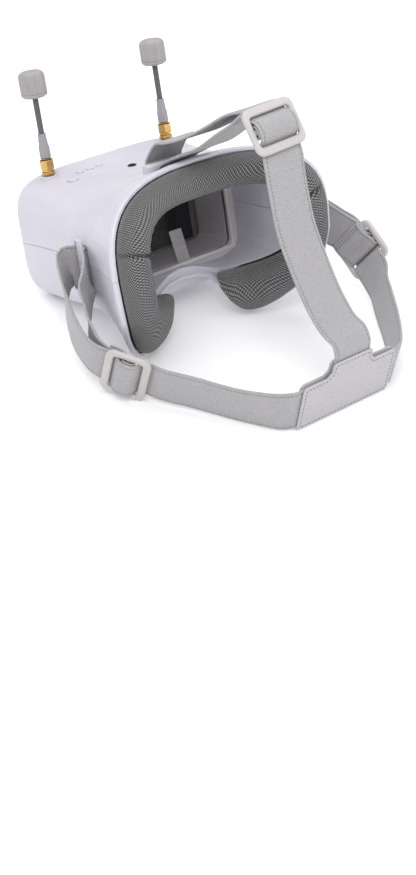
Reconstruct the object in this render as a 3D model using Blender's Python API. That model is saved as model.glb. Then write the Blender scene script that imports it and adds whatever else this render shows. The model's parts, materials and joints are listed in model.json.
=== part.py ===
"""FPV goggles with two antennas and a three-way elastic head strap.

Two frames are used. The design frame is level: +X is the wearer's right, +Y the way the
wearer looks, +Z up, and its origin lies on the parting plane between the two temples of the
face rim. The goggles empty holds everything rigid in that frame and tips it nose-down, as the
goggles stand on a table. The rest frame is the table: its XY plane carries the cheek lobes,
the lower front edge and the head strap. Lengths below are in millimetres.
"""

import math

import bmesh
import bpy
from mathutils import Matrix, Vector

MM = 0.001

# ---------------------------------------------------------------- driving dimensions
GAP = 0.3                       # clearance between touching pieces

PITCH = 17.2                    # nose-down tilt of the goggles on the table, degrees
LIFT = 73.01                    # height of the design origin above the table
CENTRE = (9.587, 23.237)        # middle of the footprint in the rest frame

RIM_HALF_WIDTH = 80.0           # face rim
RIM_TOP = 48.0
RIM_POWER = 2.8
FOREHEAD_DEPTH = 22.0
FOREHEAD_POWER = 2.1
RIM_THICK = 2.6
LIP_WIDTH = 2.4
LIP_HEIGHT = 2.0
FLANGE_FACE = RIM_THICK - LIP_HEIGHT    # the flange lies this far in front of the rim loop

OPENING_HALF_WIDTH = 58.0       # eye opening inside the flange
OPENING_TOP = 26.0
OPENING_DEPTH = 24.0

WALL = 2.0
DUCT_WALL = 1.6
DUCT_END = 64.5                 # where the viewing duct meets the lens frame
BODY_START = 66.0               # where the flare of the rim has died out
QUARTER = 13                    # segments in a quarter of a shell outline

# half width, top, bottom, outline power, forward position of each body section
BODY_SECTIONS = (
    (66.0, 38.0, 43.5, 3.8, BODY_START),
    (64.4, 37.6, 42.6, 4.4, 86.0),
    (64.8, 39.0, 41.0, 4.9, 104.0),
    (66.0, 40.0, 39.6, 5.0, 117.0),
    (65.4, 39.2, 38.8, 4.8, 121.5),
    (63.6, 37.2, 37.4, 4.4, 124.2),
    (60.4, 34.0, 34.2, 4.0, 125.6),
    (38.0, 20.0, 20.0, 3.0, 126.6),
)
FLARE_STEPS = (0.1, 0.24, 0.42, 0.68)

# lower half of the face rim from the right temple round the cheek lobe to the nose arch
LOWER_RIM = (
    (80.0, 0.0, 0.0), (79.2, 0.6, -15.0), (76.0, 4.5, -30.0), (70.0, 12.5, -43.5),
    (61.0, 23.0, -54.6), (51.0, 33.0, -62.2), (42.5, 39.5, -64.2), (35.0, 43.0, -61.2),
    (29.0, 45.5, -53.5), (24.6, 47.2, -45.0), (20.5, 49.0, -38.6), (11.5, 51.0, -34.6),
    (0.0, 52.0, -33.4),
)
LOWER_OPENING = (
    (58.0, 3.0, 0.0), (57.2, 5.0, -9.0), (55.2, 9.0, -17.0), (52.0, 16.0, -23.0),
    (48.0, 23.5, -27.0), (43.5, 30.0, -29.6), (39.0, 35.0, -31.2), (34.5, 39.0, -32.2),
    (30.0, 42.0, -32.8), (25.6, 44.8, -32.6), (19.6, 47.6, -30.6), (10.8, 50.0, -27.0),
    (0.0, 51.0, -25.4),
)

PAD_THICK = 10.5
PAD_INSET = 3.4
PAD_EDGE = 0.3                  # margin of the pad inside the flange
PAD_STEPS_TO_NOSE = 10          # outline segments from the temple to where the pad stops
PAD_TIPS = (0.45, 0.75, 0.92)   # width of the pad at its tips beside the nose
BACKING_THICK = 1.0
NORMAL_SPREAD = 1               # neighbours on each side that a pad direction is averaged over

LENS_APERTURE = (53.0, 27.0, -29.0, 14.0)       # half width, top, bottom, outline power
LENS_FRAME = (62.6, 34.8, -40.0, 3.8)
HOOD_INSIDE = (52.0, 26.4, -28.4, 16.0)
LENS_FRAME_Y = (64.8, 67.8)
LENS_Y = (68.1, 69.9)
HOOD_Y = (70.2, 98.6)
HOOD_WALL = 1.5
LCD_SIZE = (103.0, 63.6)
LCD_Z = -1.6
LCD_Y = (98.9, 100.5)
BACKLIGHT_Y = (100.8, 103.2)
PCB_Y = (112.9, 114.5)

ANTENNA_X = 45.0
ANTENNA_Y = 110.0
CAP_DIAMETER = 15.6
CAP_FACES = 10
CAP_Z = (88.2, 104.6)           # bottom and top of the antenna cap
ROD_DIAMETER = 3.5
NUT_ACROSS = 8.0
JACK_DIAMETER = 6.2
BOSS_HEIGHT = 1.0               # flat seat of each antenna jack above the roof
AV_JACK = (-4.0, 79.0)
USB = (9.5, 77.5)

BUTTONS = {                     # place of each key on the top of the upper shell
    "button_power": (-40.0, 91.0, 3.4),
    "button_band": (-30.0, 98.0, 2.3),
    "button_channel": (-22.5, 98.6, 2.3),
    "button_search": (-15.0, 99.0, 2.3),
    "button_menu": (35.5, 95.5, 2.3),
    "button_up": (45.0, 100.0, 2.3),
    "button_down": (45.0, 91.0, 2.3),
}
BUTTON_TRAVEL = 0.5
KEY_FLANGE = 0.7                # thickness of the flange that keeps a key in its hole
KEY_BOARD_Z = (30.7, 31.3)

SIDE_BAR_Y = 48.0
SIDE_SLOT_Z = (-17.6, 11.4)
TOP_BAR_Y = 43.0
TOP_SLOT_HALF = 14.2
BAR_WIDTH = 5.6
SLOT_WIDTH = 5.4

STRAP_WIDTH = 27.0
STRAP_THICK = 1.5
BUCKLE = (25.6, 33.0, 2.8)      # along the strap, across it, thick
BUCKLE_BAR = 3.6                # width of its end bars
BUCKLE_CENTRE_BAR = (3.4, 2.0)  # width and thickness of the bar between its slots
PATCH = (70.0, 31.0, 1.2)       # back patch: along the side straps, across, thick
PATCH_TAB = (30.0, 9.0)         # tab of the patch up the top strap
PATCH_LEAN = 7.0                # outward lean of the patch, degrees
PATCH_CENTRE = (17.0, -91.0, 16.0)

SHELL_SCREWS = ((50.0, 117.5), (-50.0, 117.5), (65.0, 25.0), (-65.0, 25.0))

# antenna lead from the jack to the receiver, right side
COAX_PATH = ((45.0, 110.0, 29.8), (45.0, 109.6, 25.0), (42.0, 109.2, 20.0), (35.0, 110.2, 17.6),
             (31.0, 111.0, 15.5))

# ---------------------------------------------------------------- route of the webbing
STRAP_STEP = 5.0                # longest stretch of webbing between two of its cross-sections
BUCKLE_CORNER = 3.4             # corner radius of a buckle
BUCKLE_SIDE_PLAY = 0.8          # play beside the webbing in a buckle's slots
PATCH_STEP = 3.0                # slanted step from the patch to its tab
PATCH_DEPTHS = (0.4, 8.0, 18.7)         # a side strap's last stations, from the end of the patch
PATCH_ENTRY = ((-1.4, 35.5, -4.2), (-0.4, 31.0, -1.3), (0.0, 26.0, 0.0), (0.0, 13.0, 0.0),
               (0.0, 1.0, 0.0))         # the top strap's last stations, in the patch's own frame
ACROSS = (1.0, 0.0, 0.0)

# The end of each strap is folded round the buckle's middle bar and sewn to itself; the strap then
# turns round the bar on the shell and comes back through the buckle, over its own fold. Both are
# (along, out) in the buckle's own frame.
FOLD = (
    (-13.0, -6.15), (-9.4, -6.15), (-6.4, -5.8), (-4.0, -4.8), (-1.8, -3.0), (0.6, -2.25),
    (2.8, -1.6), (3.4, 0.1), (2.8, 1.7), (0.0, 2.2), (-2.8, 1.6), (-3.4, 0.0), (-4.2, -2.0),
    (-5.8, -3.5), (-9.0, -4.25), (-12.5, -4.35),
)
THREADED = (
    (-12.8, -2.5), (-9.8, -2.5), (-7.8, -1.9), (-6.5, 0.1), (-4.8, 2.5), (-2.4, 3.8), (0.0, 4.05),
    (2.4, 3.8), (4.8, 2.5), (6.5, 0.1), (7.8, -1.9), (9.8, -2.5), (14.6, -2.5),
)

# round the shell's bars, from the rear slot to the front one: (out from the middle, forward of the
# bar) at the temples and (forward of the bar, up) on the roof
SIDE_WRAP = ((70.6, -6.8), (67.6, -5.2), (65.3, -4.2), (63.5, -2.7), (63.2, 0.0), (63.5, 2.7),
             (65.3, 4.2), (67.6, 5.0), (71.0, 5.6))
TOP_WRAP = ((-8.4, 45.4), (-5.4, 41.8), (-4.3, 39.6), (-2.9, 37.6), (0.0, 36.9), (2.9, 36.5),
            (4.5, 38.0), (5.6, 41.5), (6.4, 45.8))

# Rest frame. buckle: centre, direction along the strap, direction across it. tail: from the sewn
# fold to the shell. strand: from the shell back to the buckle. rear: from the buckle to the patch.
# Each station is a centre and the direction of the webbing's width.
STRAP_ROUTES = {
    "left": {
        "buckle": ((-80.0, -14.0, 19.0), (12.0, -15.0, -4.0), (-0.16, -0.19, 0.97)),
        "tail": (
            ((-85.5, 6.5, 27.5), (-0.16, -0.19, 0.97)), ((-83.5, 16.0, 35.5), (-0.1, 0.05, 1.0)),
            ((-79.5, 24.5, 46.5), (-0.05, 0.2, 1.0)), ((-75.0, 31.5, 57.0), (0.0, 0.296, 0.955)),
        ),
        "strand": (
            ((-74.2, 51.8, 54.2), (0.0, 0.296, 0.955)), ((-79.0, 48.0, 50.5), (0.0, 0.25, 0.97)),
            ((-85.0, 37.5, 40.5), (-0.05, 0.1, 1.0)), ((-89.5, 22.0, 31.0), (-0.1, 0.0, 1.0)),
            ((-90.0, 7.0, 24.8), (-0.16, -0.19, 0.97)),
        ),
        "rear": (
            ((-65.5, -32.5, 16.5), (-0.16, -0.19, 0.97)), ((-56.0, -46.5, 16.0), (-0.16, -0.19, 0.97)),
            ((-43.0, -66.5, 14.8), (-0.16, -0.19, 0.97)), ((-31.5, -81.5, 14.6), (-0.08, -0.18, 0.98)),
            ((-26.0, -87.5, 15.0), (-0.02, -0.14, 0.99)), ((-21.0, -90.6, 15.7), (0.0, -0.12, 0.99)),
        ),
    },
    "right": {
        "buckle": ((105.0, -10.0, 36.5), (0.5, -16.0, -10.0), (0.15, -0.1, 0.97)),
        "tail": (
            ((96.3, 10.0, 46.6), (0.12, -0.2, 0.97)), ((89.8, 21.5, 51.6), (0.0, 0.1, 1.0)),
            ((79.5, 32.0, 57.5), (0.0, 0.296, 0.955)),
        ),
        "strand": (
            ((76.5, 52.0, 53.4), (0.0, 0.296, 0.955)), ((87.0, 47.5, 50.5), (0.0, 0.28, 0.96)),
            ((96.5, 36.5, 47.5), (0.0, 0.22, 1.0)), ((101.0, 22.5, 45.3), (0.08, -0.05, 1.0)),
            ((101.4, 10.0, 44.2), (0.15, -0.3, 0.95)),
        ),
        "rear": (
            ((100.5, -31.0, 23.5), (0.12, -0.16, 0.97)), ((94.0, -43.0, 19.0), (0.10, -0.22, 0.97)),
            ((84.5, -58.5, 16.5), (0.05, -0.25, 0.97)), ((73.0, -74.5, 15.2), (0.0, -0.25, 0.97)),
            ((62.5, -86.0, 15.0), (0.0, -0.2, 0.98)), ((56.0, -90.4, 15.7), (0.0, -0.12, 0.99)),
        ),
    },
    "top": {
        "buckle": ((0.0, -35.0, 161.5), (0.6, -8.0, -9.5), ACROSS),
        "tail": (
            ((0.0, -14.5, 157.5), ACROSS), ((0.0, -2.0, 146.0), ACROSS), ((0.0, 14.0, 130.5), ACROSS),
            ((0.0, 31.0, 118.5), ACROSS),
        ),
        "strand": (
            ((0.0, 53.0, 116.5), ACROSS), ((0.0, 43.0, 121.8), ACROSS), ((0.0, 27.0, 131.5), ACROSS),
            ((0.0, 9.0, 145.5), ACROSS), ((0.0, -9.5, 161.0), ACROSS),
        ),
        "rear": (
            ((-1.2, -47.0, 142.5), ACROSS), ((-1.4, -53.0, 127.0), ACROSS), ((0.4, -58.5, 109.0), ACROSS),
            ((4.4, -66.0, 90.0), ACROSS), ((8.5, -75.0, 71.5), ACROSS), ((12.5, -83.6, 58.2), ACROSS),
        ),
    },
}

# ---------------------------------------------------------------- scene and materials
for leftover in list(bpy.data.objects):
    bpy.data.objects.remove(leftover, do_unlink=True)


def material(name, colour, roughness, metallic=0.0, alpha=1.0):
    found = bpy.data.materials.get(name)
    if found:
        return found
    made = bpy.data.materials.new(name)
    made.use_nodes = True
    shader = made.node_tree.nodes["Principled BSDF"]
    shader.inputs["Base Color"].default_value = (*colour, 1.0)
    shader.inputs["Roughness"].default_value = roughness
    shader.inputs["Metallic"].default_value = metallic
    shader.inputs["Alpha"].default_value = alpha
    made.diffuse_color = (*colour, 1.0)
    return made


SHELL_WHITE = material("shell_white", (0.79, 0.77, 0.84), 0.42)
FRAME_WHITE = material("frame_white", (0.74, 0.71, 0.72), 0.5)
PAD_MESH = material("pad_mesh", (0.16, 0.165, 0.165), 0.9)
HOOK_BLACK = material("hook_black", (0.02, 0.02, 0.02), 0.9)
LENS_CLEAR = material("lens_clear", (0.8, 0.8, 0.8), 0.08, alpha=0.3)
SCREEN_BLACK = material("screen_black", (0.012, 0.012, 0.014), 0.15)
STEEL = material("steel", (0.55, 0.55, 0.55), 0.35, 1.0)
BOARD = material("board_green", (0.03, 0.16, 0.07), 0.5)
CAN_TIN = material("tinned_can", (0.6, 0.6, 0.58), 0.3, 1.0)
POUCH = material("battery_pouch", (0.5, 0.5, 0.52), 0.35)
RIBBON = material("ribbon_amber", (0.5, 0.28, 0.07), 0.4)
COAX = material("coax_black", (0.02, 0.02, 0.02), 0.5)
SOCKET_BLACK = material("socket_black", (0.02, 0.02, 0.02), 0.4)
KEY_WHITE = material("key_white", (0.8, 0.78, 0.83), 0.45)
GOLD = material("gold_plate", (0.83, 0.55, 0.2), 0.25, 1.0)
SLEEVE_GREY = material("sleeve_grey", (0.37, 0.36, 0.38), 0.6)
ROD_GREY = material("rod_grey", (0.2, 0.195, 0.205), 0.55)
CAP_GREY = material("cap_grey", (0.48, 0.45, 0.46), 0.5)
WEBBING = material("webbing_grey", (0.45, 0.44, 0.46), 0.85)
BUCKLE_GREY = material("buckle_grey", (0.61, 0.57, 0.56), 0.45)
LEATHER = material("leather_grey", (0.55, 0.53, 0.55), 0.6)

rest = bpy.data.objects.new("rest_frame", None)
bpy.context.scene.collection.objects.link(rest)
rest.location = (-CENTRE[0] * MM, -CENTRE[1] * MM, 0.0)

goggles = bpy.data.objects.new("goggles_frame", None)
bpy.context.scene.collection.objects.link(goggles)
goggles.parent = rest
goggles.rotation_euler = (-math.radians(PITCH), 0.0, 0.0)
goggles.location = (0.0, 0.0, LIFT * MM)


def design_to_rest(point):
    """A point of the level design frame, given in the rest frame."""
    turned = Matrix.Rotation(-math.radians(PITCH), 3, "X") @ Vector(point)
    return turned + Vector((0.0, 0.0, LIFT))


# ---------------------------------------------------------------- mesh helpers
def from_bmesh(name, mesh, finish, parent=goggles, smooth=0.0, origin=(0.0, 0.0, 0.0)):
    """An object from a bmesh in millimetres, its origin at the given point of its parent."""
    bmesh.ops.recalc_face_normals(mesh, faces=mesh.faces)
    bmesh.ops.translate(mesh, verts=mesh.verts, vec=-Vector(origin))
    bmesh.ops.scale(mesh, verts=mesh.verts, vec=(MM, MM, MM))
    data = bpy.data.meshes.new(name)
    mesh.to_mesh(data)
    mesh.free()
    if smooth:
        data.shade_smooth()
        data.set_sharp_from_angle(angle=math.radians(smooth))
    data.materials.append(finish)
    made = bpy.data.objects.new(name, data)
    bpy.context.scene.collection.objects.link(made)
    made.parent = parent
    made.location = Vector(origin) * MM
    return made


def add_box(mesh, low, high):
    corners = [
        mesh.verts.new((x, y, z))
        for x in (low[0], high[0]) for y in (low[1], high[1]) for z in (low[2], high[2])
    ]
    for face in ((0, 1, 3, 2), (4, 6, 7, 5), (0, 4, 5, 1), (2, 3, 7, 6), (0, 2, 6, 4), (1, 5, 7, 3)):
        mesh.faces.new([corners[i] for i in face])


def add_loft(mesh, loops, closed=True, capped=True):
    """Joins loops of points, all of one length, by quads and caps both ends."""
    rings = [[mesh.verts.new(p) for p in loop] for loop in loops]
    count = len(rings[0])
    last = count if closed else count - 1
    for one, two in zip(rings, rings[1:]):
        for i in range(last):
            j = (i + 1) % count
            mesh.faces.new((one[i], one[j], two[j], two[i]))
    if capped:
        mesh.faces.new(rings[0])
        mesh.faces.new(list(reversed(rings[-1])))
    return rings


def ring(radius, z, sides=24, centre=(0.0, 0.0), turn=0.0):
    return [
        (
            centre[0] + radius * math.cos(turn + 2 * math.pi * i / sides),
            centre[1] + radius * math.sin(turn + 2 * math.pi * i / sides),
            z,
        )
        for i in range(sides)
    ]


def add_turned(mesh, profile, sides=24, centre=(0.0, 0.0), turn=0.0):
    """A solid of revolution about +Z from (radius, height) steps, closed at both ends."""
    add_loft(mesh, [ring(r, z, sides, centre, turn) for r, z in profile])


def add_tube(mesh, profile_out, profile_in, sides=24, centre=(0.0, 0.0), turn=0.0):
    """A hollow turned piece: the outer steps run up and the inner steps run back down."""
    loops = [ring(r, z, sides, centre, turn) for r, z in (*profile_out, *reversed(profile_in))]
    rings = add_loft(mesh, loops, capped=False)
    for i in range(sides):
        j = (i + 1) % sides
        mesh.faces.new((rings[-1][i], rings[-1][j], rings[0][j], rings[0][i]))


def box(name, finish, low, high, bevel=0.0):
    """A box between two opposite corners, its edges rounded if a bevel is given."""
    mesh = bmesh.new()
    add_box(mesh, low, high)
    made = from_bmesh(name, mesh, finish)
    if bevel:
        rounding = made.modifiers.new("edges", "BEVEL")
        rounding.width = bevel * MM
        rounding.segments = 2
    return made


def hide_tool(tool):
    tool.hide_render = True
    tool.display_type = "WIRE"


def boolean(target, mesh, operation, name, parent=goggles):
    """Cuts or joins the bmesh, in its parent's frame, and the target."""
    tool = from_bmesh(name, mesh, SHELL_WHITE, parent=parent)
    hide_tool(tool)
    step = target.modifiers.new(name, "BOOLEAN")
    step.operation = operation
    step.object = tool
    step.solver = "EXACT"


# ---------------------------------------------------------------- shell outlines
def superellipse(half_width, height, power, quarter_turn):
    """A point of a rounded outline, from its side (0) to its top or bottom (1)."""
    angle = 0.5 * math.pi * quarter_turn
    across = max(math.cos(angle), 0.0) ** (2 / power)
    up = math.sin(angle) ** (2 / power)
    return half_width * across, height * up


def spline(points, where):
    """A point on a smooth curve through the given points, mirrored in X at its last point."""
    index = min(int(where), len(points) - 2)
    t = where - index
    before = Vector(points[index - 1]) if index else 2 * Vector(points[0]) - Vector(points[1])
    one, two = Vector(points[index]), Vector(points[index + 1])
    if index + 2 < len(points):
        after = Vector(points[index + 2])
    else:
        after = Vector(points[index])
        after.x = -after.x
    return 0.5 * (
        2 * one + (two - before) * t + (2 * before - 5 * one + 4 * two - after) * t * t
        + (3 * one - before - 3 * two + after) * t * t * t
    )


def half_loop(quarter):
    """A loop from the right temple to the left one, from a function of the quarter turn."""
    right = [quarter(i / QUARTER) for i in range(QUARTER + 1)]
    left = [Vector((-p.x, p.y, p.z)) for p in right[-2::-1]]
    return right + left


def rim_loop(upper):
    if upper:
        def quarter(u):
            x, z = superellipse(RIM_HALF_WIDTH, RIM_TOP, RIM_POWER, u)
            y = FOREHEAD_DEPTH * (1 - (x / RIM_HALF_WIDTH) ** FOREHEAD_POWER)
            return Vector((x, y, z))
    else:
        def quarter(u):
            return spline(LOWER_RIM, u * (len(LOWER_RIM) - 1))
    return half_loop(quarter)


def opening_loop(upper):
    if upper:
        def quarter(u):
            x, z = superellipse(OPENING_HALF_WIDTH, OPENING_TOP, RIM_POWER, u)
            y = 3.0 + OPENING_DEPTH * (1 - (x / OPENING_HALF_WIDTH) ** FOREHEAD_POWER)
            return Vector((x, y, z))
    else:
        def quarter(u):
            return spline(LOWER_OPENING, u * (len(LOWER_OPENING) - 1))
    return half_loop(quarter)


def body_loop(upper, section, inset=0.0):
    half_width, top, bottom, power, y = section
    height = (top if upper else bottom) - inset

    def quarter(u):
        x, z = superellipse(half_width - inset, height, power, u)
        return Vector((x, y, z if upper else -z))

    return half_loop(quarter)


def shifted(loop, upper, inward, forward=0.0):
    """The loop moved towards the inside of the outline, in X and Z, and forward in Y."""
    hand = 1.0 if upper else -1.0
    last = len(loop) - 1
    moved = []
    for i, point in enumerate(loop):
        ahead = loop[min(i + 1, last)] - loop[max(i - 1, 0)]
        side = hand * Vector((-ahead.z, 0.0, ahead.x)).normalized()
        if i in (0, last):
            side = Vector((-math.copysign(1.0, point.x), 0.0, 0.0))
        moved.append(point + inward * side + Vector((0.0, forward, 0.0)))
    return moved


def flared(rim, body, step):
    """A loop part of the way from the face rim to the first body section."""
    mixed = []
    for edge, wall in zip(rim, body):
        spread = (1 - step) ** (2.0 if edge.z >= 0 else 3.4)
        mixed.append(Vector((
            wall.x + (edge.x - wall.x) * (1 - step) ** 1.8,
            edge.y + (wall.y - edge.y) * step,
            wall.z + (edge.z - wall.z) * spread,
        )))
    return mixed


def pad_seat(upper):
    """Outer edge, middle and inner edge of the face pad on the flange."""
    edge, opening = shifted(rim_loop(upper), upper, PAD_INSET), opening_loop(upper)
    down = Vector((0.0, -FLANGE_FACE, 0.0))
    outer, middle, inner = [], [], []
    for one, two in zip(edge, opening):
        margin = PAD_EDGE / (two - one).length
        outer.append(one.lerp(two, margin) + down)
        middle.append(one.lerp(two, 0.5) + down)
        inner.append(two.lerp(one, margin) + down)
    return outer, middle, inner


def shell_stations(upper):
    """Loops from the front face over the outside to the rim, down the flange, and back inside."""
    rim = rim_loop(upper)
    opening = opening_loop(upper)
    body = body_loop(upper, BODY_SECTIONS[0])
    body_inside = body_loop(upper, BODY_SECTIONS[0], WALL)
    duct_end = body_loop(upper, (57.5, 31.0, 33.5, 8.0, DUCT_END))
    duct_middle = [
        a.lerp(b, 0.5) + Vector((-math.copysign(1.2, a.x) if abs(a.x) > 50 else 0.0, 0.0, 0.0))
        for a, b in zip(opening, duct_end)
    ]
    outside = [body_loop(upper, section) for section in reversed(BODY_SECTIONS)]
    outside += [flared(rim, body, step) for step in reversed(FLARE_STEPS)]
    face = [
        rim,
        shifted(rim, upper, 0.2, -RIM_THICK + 0.8),
        shifted(rim, upper, 0.9, -RIM_THICK),
        shifted(rim, upper, LIP_WIDTH, -RIM_THICK),
        shifted(rim, upper, LIP_WIDTH + 0.3, -FLANGE_FACE),
        *pad_seat(upper),
        opening,
        duct_middle,
        duct_end,
    ]
    inside = [
        shifted(duct_end, upper, -DUCT_WALL),
        shifted(duct_middle, upper, -DUCT_WALL),
        shifted(opening, upper, -DUCT_WALL, WALL),
        shifted(rim, upper, LIP_WIDTH + 2.4, WALL),
    ]
    inside += [shifted(flared(rim, body, step), upper, WALL) for step in FLARE_STEPS[1:]]
    inside.append(body_inside)
    inside += [body_loop(upper, section, WALL) for section in BODY_SECTIONS[1:4]]
    front = BODY_SECTIONS[4]
    inside.append(body_loop(upper, (*front[:4], front[4] - 0.4), WALL + 0.4))
    inside.append(body_loop(upper, (58.0, 31.5, 31.7, 4.0, 123.4)))
    return outside + face + inside


def shell_half(name, upper):
    stations = shell_stations(upper)
    parting = 0.5 * GAP if upper else -0.5 * GAP
    for loop in stations:
        for end in (0, -1):
            loop[end] = Vector((loop[end].x, loop[end].y, parting))
    if not upper:
        stations = [loop[::-1] for loop in stations]
    mesh = bmesh.new()
    rings = add_loft(mesh, stations, closed=False, capped=False)
    mesh.faces.new(rings[0])
    mesh.faces.new(rings[-1])
    mesh.faces.new([loop[0] for loop in rings] + [loop[-1] for loop in reversed(rings)])
    return from_bmesh(name, mesh, SHELL_WHITE, smooth=35.0)


def top_height(x, y):
    """Height of the upper shell's outer surface over a point of its roof."""
    sections = BODY_SECTIONS
    low = max(i for i in range(3) if sections[i][4] <= y or i == 0)
    one, two = sections[low], sections[low + 1]
    t = min(max((y - one[4]) / (two[4] - one[4]), 0.0), 1.0)
    half, top, power = (one[k] + (two[k] - one[k]) * t for k in (0, 1, 3))
    return top * (1 - (abs(x) / half) ** power) ** (1 / power)


upper_shell = shell_half("upper_shell", True)
lower_shell = shell_half("lower_shell", False)

# ---------------------------------------------------------------- what is moulded onto the shells
def side_bar_half(mesh, side, upper):
    """Raised half of the vertical strap bar, with a half boss on the parting line."""
    low_x, high_x = 64.6, 69.8
    ends = (0.5 * GAP, SIDE_SLOT_Z[1] + 2.5) if upper else (SIDE_SLOT_Z[0] - 2.5, -0.5 * GAP)
    half = 0.5 * BAR_WIDTH
    outline = ((low_x, -half + 1.2), (low_x + 1.2, -half), (high_x - 1.2, -half), (high_x, -half + 1.2),
               (high_x, half - 1.2), (high_x - 1.2, half), (low_x + 1.2, half), (low_x, half - 1.2))
    loops = [
        [(side * x, SIDE_BAR_Y + y, z) for x, y in outline]
        for z in ends
    ]
    add_loft(mesh, loops)


def top_bar(mesh):
    """Bridge over the two top slots, along X, with feet at both ends."""
    half = 0.5 * BAR_WIDTH
    reach = TOP_SLOT_HALF + 4.5
    low, high = 39.2, 45.4
    outline = ((-half, low), (-half, high - 1.2), (-half + 1.2, high), (half - 1.2, high),
               (half, high - 1.2), (half, low))
    add_loft(mesh, [[(x, TOP_BAR_Y + y, z) for y, z in outline] for x in (-reach, reach)])


def slot_spans(centre, low, high):
    """The two slots beside a strap bar, as spans along Y."""
    inner = 0.5 * BAR_WIDTH
    return (
        (centre - inner - SLOT_WIDTH, centre - inner, low, high),
        (centre + inner, centre + inner + SLOT_WIDTH, low, high),
    )


def shell_extras(shell, upper):
    posts, ribs = bmesh.new(), bmesh.new()
    for x, y in SHELL_SCREWS:
        front = y > BODY_START
        if upper:
            low, high = 0.5 * GAP, 35.6 if front else 14.0
        else:
            low, high = -36.0 if front else -18.0, -0.5 * GAP
        add_turned(posts, [(3.4, low), (3.4, high)], 12, (x, y))
        if not front:
            rib = sorted((x, math.copysign(70.4, x)))
            add_box(ribs, (rib[0], y - 0.8, low), (rib[1], y + 0.8, high))
    for x in (-43.5, 43.5):
        z = 20.0 if upper else -27.0
        outline = [(px, pz) for px, pz, _ in ring(2.5, 0.0, 12, (x, z))]
        add_loft(posts, [[(px, y, pz) for px, pz in outline] for y in (PCB_Y[1] + GAP, 124.4)])
    if upper:
        roof = top_height(ANTENNA_X, ANTENNA_Y)
        for x in (-ANTENNA_X, ANTENNA_X):
            profile = [(5.4, roof - 1.5), (5.4, roof + BOSS_HEIGHT - 0.3), (5.1, roof + BOSS_HEIGHT)]
            add_turned(posts, profile, 16, (x, ANTENNA_Y))
    boolean(shell, posts, "UNION", shell.name + "_posts")
    boolean(shell, ribs, "UNION", shell.name + "_ribs")

    cuts = bmesh.new()
    for x, y in SHELL_SCREWS:
        if upper:
            add_turned(cuts, [(1.35, -1.0), (1.35, 12.0)], 12, (x, y))
        else:
            add_turned(cuts, [(2.7, -70.0), (2.7, -14.0), (1.5, -14.0), (1.5, 1.0)], 12, (x, y))
    for side in (-1.0, 1.0):
        for back, front, low, high in slot_spans(SIDE_BAR_Y, *SIDE_SLOT_Z):
            span = sorted((side * 61.0, side * 82.0))
            add_box(cuts, (span[0], back, low), (span[1], front, high))
    if upper:
        for back, front, low, high in slot_spans(TOP_BAR_Y, 36.6, 52.0):
            add_box(cuts, (-TOP_SLOT_HALF, back, low), (TOP_SLOT_HALF, front, high))
        for side in (-1.0, 1.0):
            hole = 0.5 * JACK_DIAMETER + GAP
            add_turned(cuts, [(hole, 30.0), (hole, 44.0)], 16, (side * ANTENNA_X, ANTENNA_Y))
        for x, y, radius in BUTTONS.values():
            add_turned(cuts, [(radius + 0.25, 30.0), (radius + 0.25, 44.0)], 14, (x, y))
        add_turned(cuts, [(2.9, 30.0), (2.9, 44.0)], 16, AV_JACK)
        add_box(cuts, (USB[0] - 4.6, USB[1] - 1.8, 30.0), (USB[0] + 4.6, USB[1] + 1.8, 44.0))
    boolean(shell, cuts, "DIFFERENCE", shell.name + "_openings")

    bars = bmesh.new()
    for side in (-1.0, 1.0):
        side_bar_half(bars, side, upper)
    if upper:
        top_bar(bars)
    boolean(shell, bars, "UNION", shell.name + "_bars")


shell_extras(upper_shell, True)
shell_extras(lower_shell, False)

for number, place in enumerate(SHELL_SCREWS, 1):
    screw = bmesh.new()
    add_turned(screw, [(2.3, -16.0), (2.3, -14.0 - GAP), (1.05, -14.0 - GAP), (1.05, 10.5)], 12, place)
    from_bmesh(f"case_screw_{number}", screw, STEEL, smooth=40.0)


# ---------------------------------------------------------------- face pad
def pad_frames():
    """Outer, middle and inner points on the flange, round the pad from nose to nose."""
    lower = list(zip(*pad_seat(False)))[PAD_STEPS_TO_NOSE:0:-1]
    roof = list(zip(*pad_seat(True)))
    mirror = [tuple(Vector((-p.x, p.y, p.z)) for p in frame) for frame in reversed(lower)]
    return lower + roof + mirror


def pad_normals(frames):
    """Direction in which the pad stands off the flange at each of its frames."""
    last = len(frames) - 1
    raw = []
    for i, (outer, _, inner) in enumerate(frames):
        along = frames[min(i + 1, last)][1] - frames[max(i - 1, 0)][1]
        raw.append(along.cross(inner - outer).normalized())
    smooth = []
    for i in range(len(raw)):
        near = raw[max(i - NORMAL_SPREAD, 0):i + NORMAL_SPREAD + 1]
        smooth.append(sum(near, Vector()).normalized())
    return [-n if n.y > 0 else n for n in smooth]


def pad_solid(name, finish, low, high, crown):
    """A strip along the flange between two heights above it, narrower at its two ends."""
    frames = pad_frames()
    normals = pad_normals(frames)
    loops = []
    last = len(frames) - 1
    for i, (outer, middle, inner) in enumerate(frames):
        near_end = min(i, last - i)
        taper = PAD_TIPS[near_end] if near_end < len(PAD_TIPS) else 1.0
        one, two = middle.lerp(outer, taper), middle.lerp(inner, taper)
        loop = []
        for t, rise in crown:
            up = low + (high - low) * rise * (0.55 + 0.45 * taper if rise > 0 else 1.0)
            loop.append(one.lerp(two, t) + up * normals[i])
        loops.append(loop)
    mesh = bmesh.new()
    add_loft(mesh, loops)
    return from_bmesh(name, mesh, finish, smooth=50.0)


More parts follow.
